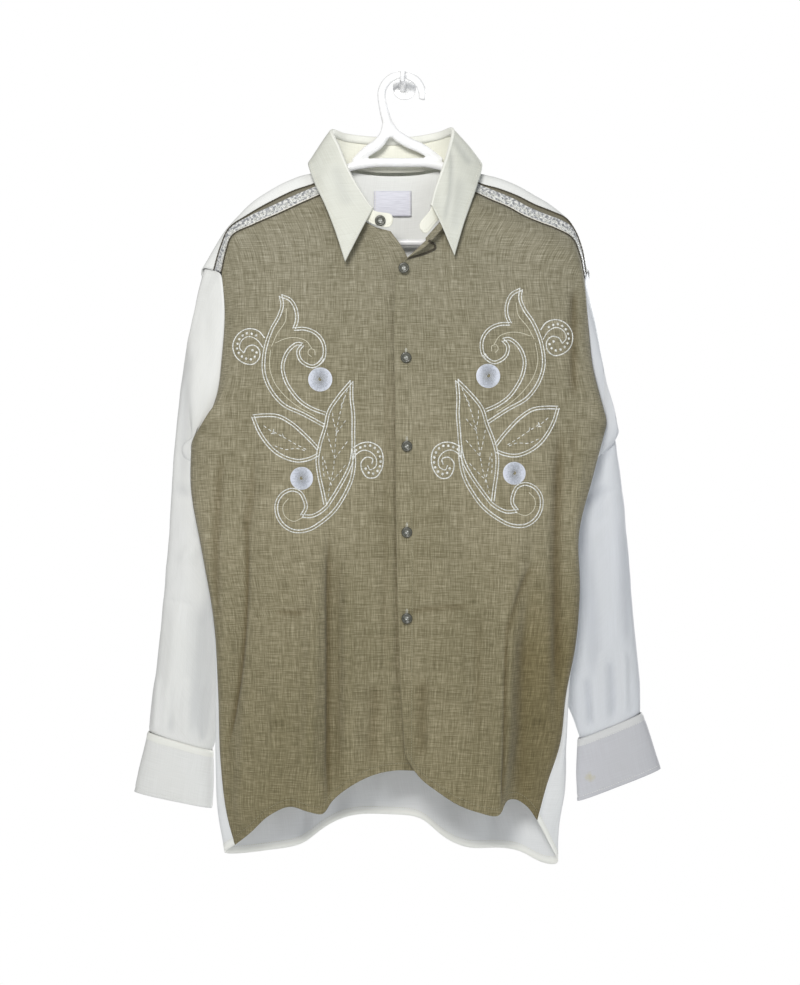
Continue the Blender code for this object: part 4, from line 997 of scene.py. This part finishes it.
# Shares up and across each front. The rows stand closer at the hem, where the stitching presses in.
FRONT_UP = np.concatenate([
    [0, 0.0025, 0.005, 0.0075, 0.0095, 0.011, 0.0125, 0.014, 0.016, 0.019], np.linspace(0.023, 1, 150)])
FRONT_ACROSS = np.linspace(0, 1, 111)


def front(hand, tables, creases, seed):
    points = soften(front_points(*tables), times=2)
    normal = normals_of(points)
    inside = smooth(FRONT_ACROSS / 0.03) * smooth((1 - FRONT_ACROSS) / 0.06)
    inside = inside * (smooth(FRONT_UP / 0.02) * smooth((1 - FRONT_UP) / 0.05))[:, None]
    points, depth = creased(points, creases, normal, inside)
    points = rippled(points, normal, 1.5, 46, 3.2, seed, inside)
    points = rippled(points, normal, 0.5, 15, 2.2, seed + 9, inside)
    points = pressed(points, normal, run_of(points), 8.0, 0.45, 1.3)
    piece = cloth("shirt_front_" + hand, points, OLIVE, "front_" + hand)
    # The fold depth paints shade into the crease troughs.
    marked(piece, "fold", depth)
    return points


EDGES_RIGHT = (CENTRE_RIGHT, HEM_RIGHT, SIDE_RIGHT, ARM_FRONT_RIGHT, BRAID_RIGHT, NECK_RIGHT, FOLDS_RIGHT)
EDGES_LEFT = (CENTRE_LEFT, HEM_LEFT, SIDE_LEFT, ARM_FRONT_LEFT, BRAID_LEFT, NECK_LEFT, FOLDS_LEFT)
right_front = front("right", EDGES_RIGHT, CREASES_RIGHT, 3.1)
left_front = front("left", EDGES_LEFT, CREASES_LEFT, 7.7)

# Back
back = soften(back_points(columns=120, rows=140), times=6)
back_normal = normals_of(back, WALL_SIDE)
turn, rise = np.linspace(0, 1, 121), np.linspace(0, 1, 141)
inside = (smooth((1 - rise) / 0.04) * smooth(rise / 0.03 + 0.1))[:, None]
inside = inside * smooth(turn / 0.06) * smooth((1 - turn) / 0.06)
back, _ = creased(back, BACK_CREASES, back_normal, inside)
back = rippled(back, back_normal, 1.6, 50, 3.0, 21.0, inside)
back[..., 1] = np.minimum(back[..., 1], BACK_CLEAR)
back_piece = cloth("shirt_back", back, SHADED, "back")
marked(back_piece, "hem", smooth(9.6 - run_of(back)) * 0.8)

# Yoke
yoke = soften(yoke_points(columns=200, rows=40), times=24)
below_edge = smooth(np.linspace(0, 1, 41) / 0.2)[:, None]
yoke = rippled(yoke, normals_of(yoke, (0, 1, 0.4)), 0.8, 26, 1.4, 5.0, below_edge)
cloth("shirt_yoke", yoke, CREAM, "yoke", level=True)


def sleeve(hand, seam, rows, creases, look, seed):
    points = soften(sleeve_points(*seam, rows, around=100, count=130, gap=0.3), times=3, closed=True)
    normal = normals_of(points, from_middle(points), closed=True)
    down = np.linspace(0, 1, len(points))[:, None]
    ends = smooth(down / 0.08) * smooth((1 - down) / 0.01 + 0.2)
    on_front = smooth(-normal[..., 1] * 1.4 + 0.35)
    points, depth = creased(points, creases, normal, ends * (0.25 + 0.75 * on_front))
    points = rippled(points, normal, 1.7, 34, 2.4, seed, ends)
    points = rippled(points, normal, 0.5, 12, 1.6, seed + 4, ends)
    points[..., 1] = np.minimum(points[..., 1], SLEEVE_CLEAR)
    last = points[-1]
    inward, drop = unit(last.mean(axis=0) - last), unit(last - points[-4])
    tuck = [last + inward * i + drop * d for i, d in ((0.3, 0.6), (1.9, 1.6), (2.1, 6))]
    points = np.concatenate([points, tuck])
    piece = cloth("shirt_sleeve_" + hand, points, look, "sleeve_" + hand, closed=True)
    # The fold depth paints shade into the crease troughs.
    marked(piece, "fold", np.concatenate([depth, np.zeros((3, depth.shape[1]))]))


sleeve("right", (ARM_FRONT_RIGHT, ARM_BACK_RIGHT, BRAID_RIGHT, YOKE[0][3:6]),
       SLEEVE_RIGHT, SLEEVE_CREASES_RIGHT, CREAM, 31.0)
sleeve("left", (ARM_FRONT_LEFT, ARM_BACK_LEFT, BRAID_LEFT, YOKE[-1][3:6]),
       SLEEVE_LEFT, SLEEVE_CREASES_LEFT, PAINTED_SHADE_BLUE, 44.0)

# Cuffs, from their tops down
cuffs = {}
for hand, rows, seed, look, paler in (
        ("right", CUFF_RIGHT, 51.0, CREAM, 0.8), ("left", CUFF_LEFT, 57.0, STAINED_AND_SHADED, 0.35)):
    grid = cuff_points(rows, 130)
    normal = normals_of(grid, from_middle(grid))
    grid = rippled(grid, normal, 0.9, 30, 1.3, seed)
    down = run_of(grid)
    for place, depth, width in ((8.5, 0.55, 1.1), (down.max() - 5.0, 0.55, 1.1), (0.0, 0.8, 1.3)):
        grid = pressed(grid, normal, down, place, depth, width)
    piece = cloth("shirt_cuff_" + hand, grid, look, "cuff_" + hand, wall=1.3, level=True)
    marked(piece, "hem", smooth((8.8 - down) / 0.8) * paler)
    cuffs[hand] = (grid, normal)


def collar_stand():
    grid = between(STAND, 150, 14)
    run = run_of(grid.swapaxes(0, 1)).T
    for from_end in (run[0], run[0, -1] - run[0]):
        share = np.clip(1 - from_end / 10.0, 0, 1)
        middle = (grid[:1] + grid[-1:]) / 2
        grid = middle + (grid - middle) * (1 - 0.65 * (1 - np.sqrt(1 - share**2)))[None, :, None]
    normal = normals_of(grid, (grid - NECK_MIDDLE) * (1, 1, 0))
    grid = rippled(grid, normal, 0.4, 20, 1.0, 61.0)
    cloth("collar_band", grid, BAND, "collar_stand", wall=1.2, level=True)
    return grid, normal


def collar_leaf():
    """The turned-down leaf, with its fold carried over the top of the stand and down inside it."""
    fine = between(LEAF, 150, 26)
    table = np.array(STAND, float)
    dense = np.linspace(0, 1, 1200)
    base, fold = curve_through(table[:, :3])(dense), curve_through(table[:, 3:])(dense)
    nearest = np.array([np.argmin(np.linalg.norm(fold - p, axis=1)) for p in fine[0]])
    fold = fold[nearest]
    upward = unit(fold - base[nearest])
    outward = fine[0] - fold
    outward = outward - np.sum(outward * upward, axis=1, keepdims=True) * upward
    reach = np.clip(np.linalg.norm(outward, axis=1, keepdims=True), 1.3, 2.2)
    outward = unit(outward)
    rows = [fold - outward * 1.35 - upward * drop for drop in (7.0, 3.0)]
    for angle in np.radians((180, 150, 120, 90, 60, 30)):
        over = (reach - 1.35) / 2 + (reach + 1.35) / 2 * math.cos(angle)
        rows.append(fold + outward * over + upward * (0.9 + 1.6 * math.sin(angle)))
    normal = normals_of(fine, (fine - NECK_MIDDLE) * (1, 1, 0))
    down = np.linspace(0, 1, len(fine))
    fine = fine + normal * (np.sin(down * math.pi) * 1.6)[:, None, None]
    fine = rippled(fine, normal, 0.9, 28, 1.5, 67.0, smooth(down / 0.3)[:, None])
    fine, depth = creased(fine, COLLAR_CREASES, normal)
    grid = np.concatenate([rows, fine])
    piece = cloth("collar_turned_leaf", grid, COLLAR, "collar_leaf", wall=1.0, level=True)
    rolled = np.zeros((len(rows), grid.shape[1]))
    # The fold depth, made stronger, paints shade into the collar's crease troughs.
    marked(piece, "fold", np.concatenate([rolled, np.clip(depth * 3.2, 0, 1)]))
    marked(piece, "hem", np.concatenate([rolled + 0.7, depth * 0]))
    return grid, np.concatenate([np.repeat(normal[:1], len(rows), 0), normal])


stand, leaf = collar_stand(), collar_leaf()


def stepped(dense, step):
    """Points one step apart along a plane line."""
    run = run_of(dense)
    return read_at(np.linspace(0, run[-1], max(3, int(run[-1] / step))), run, dense)


def curve_of(rows, step=0.7):
    return stepped(curve_through(rows)(np.linspace(0, 1, 400)), step)


def beside(line, gap):
    """The plane line moved sideways by the gap."""
    way = unit(np.gradient(line, axis=0))
    return line + np.stack([-way[:, 1], way[:, 0]], axis=1) * gap


def round_about(x, z, reach, angle):
    """Plane points round a middle."""
    return np.stack([x + reach * np.cos(angle), z + reach * np.sin(angle)], axis=1)


class Motif:
    """Places a flat design on a front: mirrored, turned and moved, then laid on the cloth from the front."""

    def __init__(self, points, x, z, mirror=1, turn_by=0):
        faces = grid_faces(*points.shape[:2])
        self.tree = BVHTree.FromPolygons([tuple(p) for p in points.reshape(-1, 3)], faces)
        self.x, self.z, self.mirror, self.turn_by = x, z, mirror, math.radians(turn_by)

    def laid(self, line, lift=0.0):
        places, ways = [], []
        cosine, sine = math.cos(self.turn_by), math.sin(self.turn_by)
        for x, z in np.array(line, float) * (self.mirror, 1):
            start = Vector((x * cosine - z * sine + self.x, -300, x * sine + z * cosine + self.z))
            hit, normal, _, _ = self.tree.ray_cast(start, Vector(WALL_SIDE))
            if hit is None:
                continue
            way = np.array(normal if normal.y < 0 else -normal)
            places.append(np.array(hit) + way * (WALL / 2 + lift))
            ways.append(way)
        return np.array(places), np.array(ways)

    def thread(self, line, wide, high, chained=True, lift=0.1):
        """A thread along the line. A chained one swells and narrows from stitch to stitch."""
        places, ways = self.laid(line, lift)
        size = 0.72 + 0.34 * np.abs(np.sin(np.arange(len(places)) * math.pi / 4)) if chained else 1.0
        return swept(places, ways, wide * size, high * size)


def embroidery(hand, motif):
    silver, satin = [], []
    for line in map(curve_of, OUTLINES):
        for gap, wide in ((-DOUBLE_LINE, 0.76), (DOUBLE_LINE, 0.66)):
            silver.append(motif.thread(beside(line, gap), wide, 0.55))
    for line in map(curve_of, VEINS):
        for first in range(0, len(line) - 5, 9):
            silver.append(motif.thread(line[first:first + 6], 0.5, 0.4, False))
    for outer, inner, dots in CURLS:
        silver.append(motif.thread(curve_of(outer), 0.8, 0.55))
        silver.append(motif.thread(curve_of(inner), 0.66, 0.5))
        silver += [knot(place, way, 1.7, 0.95) for place, way in zip(*motif.laid(curve_of(dots, 5.2), 0.1))]
    gathered("embroidery_outline_" + hand, silver, SILVER)
    share, ring = np.linspace(0, 1, 900), np.linspace(0, 2 * math.pi, 49)
    for x, z, radius in DISCS:
        turns = math.pi / 2 + 9 * 2 * math.pi * share
        inwards = round_about(x, z, radius * (1 - share * 0.92) ** 0.8, turns)
        satin.append(motif.thread(stepped(inwards, 1.2), 0.57, 0.85, False, 0.25))
        satin.append(motif.thread(round_about(x, z, radius, ring), 0.7, 0.6, False))
    discs = gathered("embroidery_disc_" + hand, satin, SATIN)
    # Painted sheen on each disc: brighter towards its left and right sides and its rim, duller in the middle.
    points = np.concatenate([some for some, _ in satin])
    gloss = np.zeros(len(points))
    for x, z, radius in DISCS:
        away = points - motif.laid([(x, z)])[0][0]
        square = away[:, 0] ** 2 + away[:, 2] ** 2
        near = np.sqrt(square) / radius
        sides = away[:, 0] ** 2 / np.maximum(square, 1e-6)
        gloss = np.where(near < 1.15, 0.25 + 0.35 * near + 0.4 * sides * near, gloss)
    marked(discs, "painted_disc_sheen", gloss)
    faint = [motif.thread(curve_of(rows), 0.5, 0.36) for rows in FAINT]
    gathered("embroidery_vein_" + hand, faint, TAN)


embroidery("right", Motif(right_front, -115.5, -371.5))
embroidery("left", Motif(left_front, 122.0, -366.0, -1, 4.4))

# A dark thread along the left front's neck roll: a painted shadow line.
roll, line = Motif(left_front, 0.0, 0.0), curve_of(NECK_ROLL_SHADOW)
widths = np.linspace(1.7, 1.1, len(roll.laid(line)[0]))
gathered("neck_roll_shadow_left", [roll.thread(line, widths, 0.8, False, 0.2)], DARK)

# Stitching. Columns of each row: points, normals, edge, distance in from it, start and end as shares
right_cloth, left_cloth = (right_front, normals_of(right_front)), (left_front, normals_of(left_front))
stitched("front_stitches_right", [(*right_cloth, "first row", 8, 0.0, 0.97)], OLIVE_SEWING)
stitched("front_stitches_left", [
    (*left_cloth, "first row", 8, 0.0, 0.97), (*left_cloth, "first column", 18, 0.01, 0.93),
], OLIVE_SEWING)
stitched("back_hem_stitches", [
    (back, normal, "first row", 8.5, 0.0, 1.0) for normal in (back_normal, normals_of(back))
], SEWING)
for hand in ("right", "left"):
    stitched("cuff_stitches_" + hand, [
        (*cuffs[hand], "first row", 8.5, 0.02, 0.98), (*cuffs[hand], "last row", 5, 0.02, 0.98),
    ], BRIGHT, off=0.6)
stitched("collar_leaf_stitches", [
    (*leaf, "last row", 4.5, 0.0, 1.0), (*leaf, "first column", 4.5, 0.3, 0.97),
    (*leaf, "last column", 4.5, 0.3, 0.97),
], SEWING, off=0.5)
stitched("collar_band_stitches", [
    (stand[0], stand[1] * side, "first row", 3.5, 0.0, 1.0) for side in (1, -1)
], SEWING, off=0.6)


def braid_piece(hand, table):
    """A cream woven ribbon with silver flowers and leaves, between dark pipings."""
    grid = between(table, 170, 10)
    normal = normals_of(grid)
    run = run_of(grid.swapaxes(0, 1)).T
    edges = smooth(np.abs(np.linspace(-1, 1, 11)) * 3 - 1.8)[:, None, None]
    grid = grid + normal * (0.18 * np.sin(run / 2.1 * math.pi)[..., None] * edges)
    cloth("braid_ribbon_" + hand, grid, BRAID, "braid_" + hand, wall=1.1, level=True)
    line, ways = spaced((grid[3] + grid[4]) / 2, normal[4], 9.5)
    parts = []
    for i, (place, ahead, way) in enumerate(zip(line, line[1:], ways)):
        along = unit(ahead - place)
        cross = unit(np.cross(along, way))
        base = place + way * 0.65
        flip = 1 if i % 2 else -1
        flower = base + cross * 1.3 * flip
        for petal in range(5):
            angle = 2 * math.pi * petal / 5 + 0.4 * flip
            outwards = along * math.cos(angle) + cross * math.sin(angle)
            petal_line = [flower + outwards * d for d in (0.6, 1.5, 2.5, 3.1)]
            parts.append(swept(petal_line, way, [0.3, 0.7, 0.8, 0.35], 0.5))
        parts.append(knot(flower, way, 0.7, 0.7))
        stem = base + along * 4.7
        for side in (-1, 1):
            rise = cross * flip
            leaf_line = [stem + along * d * side + rise * (0.9 * d - 1.6) for d in (0.0, 1.3, 2.7, 3.9)]
            parts.append(swept(leaf_line, way, [0.3, 0.75, 0.7, 0.25], 0.36))
    gathered("braid_flowers_" + hand, parts, SILVER)
    for edge, row in (("lower", 0), ("upper", -1)):
        line, ways = spaced(grid[row], normal[row], 1.0)
        twist = 0.95 * (1 + 0.09 * np.sin(np.arange(len(line)) * 1.9))
        cord = swept(line + ways * 0.6, ways, twist, twist, 10)
        pipe = gathered(f"piping_{edge}_{hand}", [cord], DARK)
        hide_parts(f"piping_{hand}_{edge}")


braid_piece("right", BRAID_RIGHT)
braid_piece("left", BRAID_LEFT)

# The buttons' profile, turned round. Columns: radius, height
PROFILE = [
    (0.0, 1.15), (2.6, 1.15), (3.5, 1.3), (3.9, 1.75), (4.4, 2.12), (5.0, 2.2), (5.6, 2.02), (6.05, 1.5),
    (6.2, 0.95), (6.0, 0.4), (5.4, 0.05), (0.0, 0.0),
]
HOLE = 1.15  # from the button's middle to its holes, both ways


def meshed(name, shape):
    mesh = bpy.data.meshes.new(name)
    shape.to_mesh(mesh)
    shape.free()
    return added(name, mesh)


def button_shape():
    """A turned rim and dish with four holes."""
    shape = bmesh.new()
    corners = [shape.verts.new((r, 0, h)) for r, h in PROFILE]
    edges = [shape.edges.new(pair) for pair in zip(corners, corners[1:])]
    bmesh.ops.spin(
        shape, geom=corners + edges, cent=(0, 0, 0), axis=(0, 0, 1), angle=2 * math.pi, steps=40,
        use_merge=True)
    bmesh.ops.remove_doubles(shape, verts=shape.verts, dist=1e-4)
    bmesh.ops.recalc_face_normals(shape, faces=shape.faces)
    holes = bmesh.new()
    for x, z in ((HOLE, HOLE), (-HOLE, HOLE), (HOLE, -HOLE), (-HOLE, -HOLE)):
        made = bmesh.ops.create_cone(holes, cap_ends=True, segments=14, radius1=0.62, radius2=0.62, depth=6.0)
        bmesh.ops.translate(holes, verts=made["verts"], vec=(x, z, 0))
    body, tool = meshed("button_body", shape), meshed("button_holes", holes)
    bore = body.modifiers.new("holes", "BOOLEAN")
    bore.operation = "DIFFERENCE"
    bore.solver = "EXACT"
    bore.object = tool
    done = finished(body)
    bpy.data.objects.remove(body)
    bpy.data.objects.remove(tool)
    return np.array([v.co for v in done.vertices]), [tuple(p.vertices) for p in done.polygons]


def finished(thing):
    """The object's mesh with its modifiers applied."""
    bpy.context.view_layer.update()
    return bpy.data.meshes.new_from_object(thing.evaluated_get(bpy.context.evaluated_depsgraph_get()))


def corners_of(node):
    """The low and high corner of a node's box, as the tables measure."""
    return [np.array(corner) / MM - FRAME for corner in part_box(node)]


BUTTON_POINTS, BUTTON_FACES = button_shape()


def button(node, facing_wall=False, tilt=0.0):
    low_corner, high_corner = corners_of(node)
    middle = (low_corner + high_corner) / 2
    middle[1] = (low_corner if facing_wall else high_corner)[1]
    sign = 1 if facing_wall else -1
    cosine, sine = math.cos(tilt), math.sin(tilt)

    def placed(x, z, height):
        turned = [sign * (z * sine - x * cosine), sign * height, x * sine + z * cosine]
        return middle + np.stack(turned, axis=1)

    piece = new_piece("shirt_" + node, placed(*BUTTON_POINTS.T), BUTTON_FACES, PEARL)
    marked(piece, "reach", np.hypot(BUTTON_POINTS[:, 0], BUTTON_POINTS[:, 1]) / 6.2)
    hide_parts(node)
    strands = []
    for x in (HOLE, -HOLE):
        line = placed(np.full(5, x), np.linspace(HOLE, -HOLE, 5), np.array([0.75, 1.4, 1.6, 1.4, 0.75]))
        strands.append(swept(line, (0.0, sign, 0.0), 0.5, 0.34))
    gathered("thread_of_" + node, strands, BRIGHT)


for number in range(1, 7):
    button(f"button_{number}", tilt=0.15 * number)
button("cuff_button_right", True, 0.3)
button("cuff_button_left", True, -0.2)

# Buttonholes: an upright bound slit above each front button
marks = []
for number in range(2, 7):
    x, _, z = sum(corners_of(f"button_{number}")) / 2
    laid = Motif(left_front, x, z)
    top = 5.2 if number == 2 else 10.4
    for side in (-0.75, 0.75):
        marks.append(laid.thread([(side, d) for d in np.arange(-4.5, top, 0.6)], 0.55, 0.38, True, 0.0))
    for end in (-4.8, top + 0.1):
        marks.append(laid.thread([(s, end) for s in (-0.9, -0.4, 0.1, 0.5, 0.9)], 0.4, 0.34, False, 0.05))
gathered("buttonholes_left", marks, BOUND)

# Neck label: a plain tape stitched at its ends
low_corner, high_corner = corners_of("neck_label")
u, v = np.meshgrid(np.linspace(0, 1, 30), np.linspace(0, 1, 16))
grid = low_corner + (high_corner - low_corner) * np.stack([u, np.full_like(u, 0.5), v], axis=2)
grid[..., 1] -= 0.5 * np.sin(math.pi * u) * np.sin(math.pi * v)
cloth("neck_tape", grid, LABEL, "neck_label", wall=0.6, level=True)
stitched("neck_tape_stitches", [
    (grid, normals_of(grid), edge, 1.5, 0.02, 0.98) for edge in ("first column", "last column")
], SEWING, pitch=2.2, off=0.3)


def oval_rod(rows, flat, cyclic=False):
    """A rod along a line in the hanger's plane. Columns: x, z, half height"""
    points = np.array([(x, HANGER_DEPTH, z, size) for x, z, size in rows], float)
    if cyclic:
        points = np.concatenate([points[-2:], points, points[:3]])
    dense = curve_through(points)(np.linspace(0, 1, 60 * len(rows) // 4))
    if cyclic:
        from_start, half = np.linalg.norm((dense - points[2])[:, :3], axis=1), len(dense) // 2
        dense = dense[np.argmin(from_start):np.argmin(from_start[half:]) + half + 1]
    return swept(dense[:, :3], (0.0, -1.0, 0.0), dense[:, 3], dense[:, 3] * flat, 20)


hook_rows = list(HANGER_STEM)
for step in range(25):
    angle = math.radians(HOOK_START + (HOOK_END - HOOK_START) * step / 24)
    x, z = HOOK_CENTRE[0] + HOOK_RADIUS * math.cos(angle), HOOK_CENTRE[1] + HOOK_RADIUS * math.sin(angle)
    hook_rows.append((x, z, HOOK_ROD - 0.35 * max(step - 21, 0)))

# Hanger: one moulded body, from the same lines as the solid
rods = [oval_rod(HANGER_RING, HANGER_FLAT, True), oval_rod(hook_rows, HANGER_FLAT - 0.03)]
rods += [oval_rod(rows, 0.66) for rows in HANGER_STRUTS]
hanger = gathered("white_hanger", rods, WHITE)
merge = hanger.modifiers.new("merge", "REMESH")
merge.mode = "VOXEL"
merge.voxel_size = 0.0013
merge.use_smooth_shade = True
rounding = hanger.modifiers.new("soften", "SMOOTH")
rounding.factor = 0.5
rounding.iterations = 5
fused = finished(hanger)
hanger.modifiers.clear()
hanger.data = fused
fused.shade_smooth()
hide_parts("hanger")
for mesh in (fused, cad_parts["wall_hook"].data):
    mesh.materials.clear()
    mesh.materials.append(WHITE)


# Camera, floor, light and a white surround
lens = bpy.data.cameras.new("camera")
lens.sensor_width = 36.0
lens.lens = lens.sensor_width / VIEW_WIDTH
camera = added("camera", lens)
camera.location = (-0.0053, -2.06, -0.4917)
camera.rotation_euler = (math.pi / 2, 0, 0)
bpy.context.scene.camera = camera
bpy.context.scene.view_settings.view_transform = "Standard"

floor_cover = Look("pale_floor", (0.93, 0.93, 0.93), 0.9)
floor_cover.feed(floor_cover.shader, {"Emission Color": (1.0, 1.0, 1.0), "Emission Strength": 0.45})
floor = bpy.data.meshes.new("floor")
corners = [(x, y, FLOOR) for x, y in ((-3, -4), (3, -4), (3, 1.1), (-3, 1.1))]
floor.from_pydata(corners, [], [(0, 1, 2, 3)])
floor.materials.append(floor_cover.material)
added("floor", floor)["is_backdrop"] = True


def area_light(name, place, aim, size, power, colour):
    data = bpy.data.lights.new(name, "AREA")
    data.size = size
    data.energy = power
    data.color = colour
    thing = added(name, data)
    thing.location = place
    thing.rotation_euler = (Vector(aim) - Vector(place)).to_track_quat("-Z", "Y").to_euler()


area_light("key", (-0.25, -1.35, 0.38), (0.0, 0, -0.33), 0.5, 16.5, (1.0, 0.99, 0.97))
area_light("fill", (1.4, -1.9, 0.2), (0.1, 0, -0.25), 1.2, 5, (0.84, 0.92, 1.0))
area_light("behind", (1.5, 1.5, 0.3), (0, 0, -0.5), 0.8, 34, (1.0, 1.0, 1.0))

# Camera rays see a white surround. The cloth is lit by a dimmer, slightly blue one.
world = bpy.data.worlds.new("studio")
world.use_nodes = True
tree = world.node_tree
ambient, white = tree.nodes["Background"], tree.nodes.new("ShaderNodeBackground")
for background, colour, strength in ((ambient, (0.94, 0.97, 1.0, 1.0), 0.215), (white, (1, 1, 1, 1), 1.0)):
    background.inputs["Color"].default_value = colour
    background.inputs["Strength"].default_value = strength
choice = tree.nodes.new("ShaderNodeMixShader")
to_camera = tree.nodes.new("ShaderNodeLightPath").outputs["Is Camera Ray"]
for index, source in enumerate((to_camera, ambient.outputs[0], white.outputs[0])):
    tree.links.new(source, choice.inputs[index])
tree.links.new(choice.outputs[0], tree.nodes["World Output"].inputs["Surface"])
bpy.context.scene.world = world

low_corner, high_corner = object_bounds()
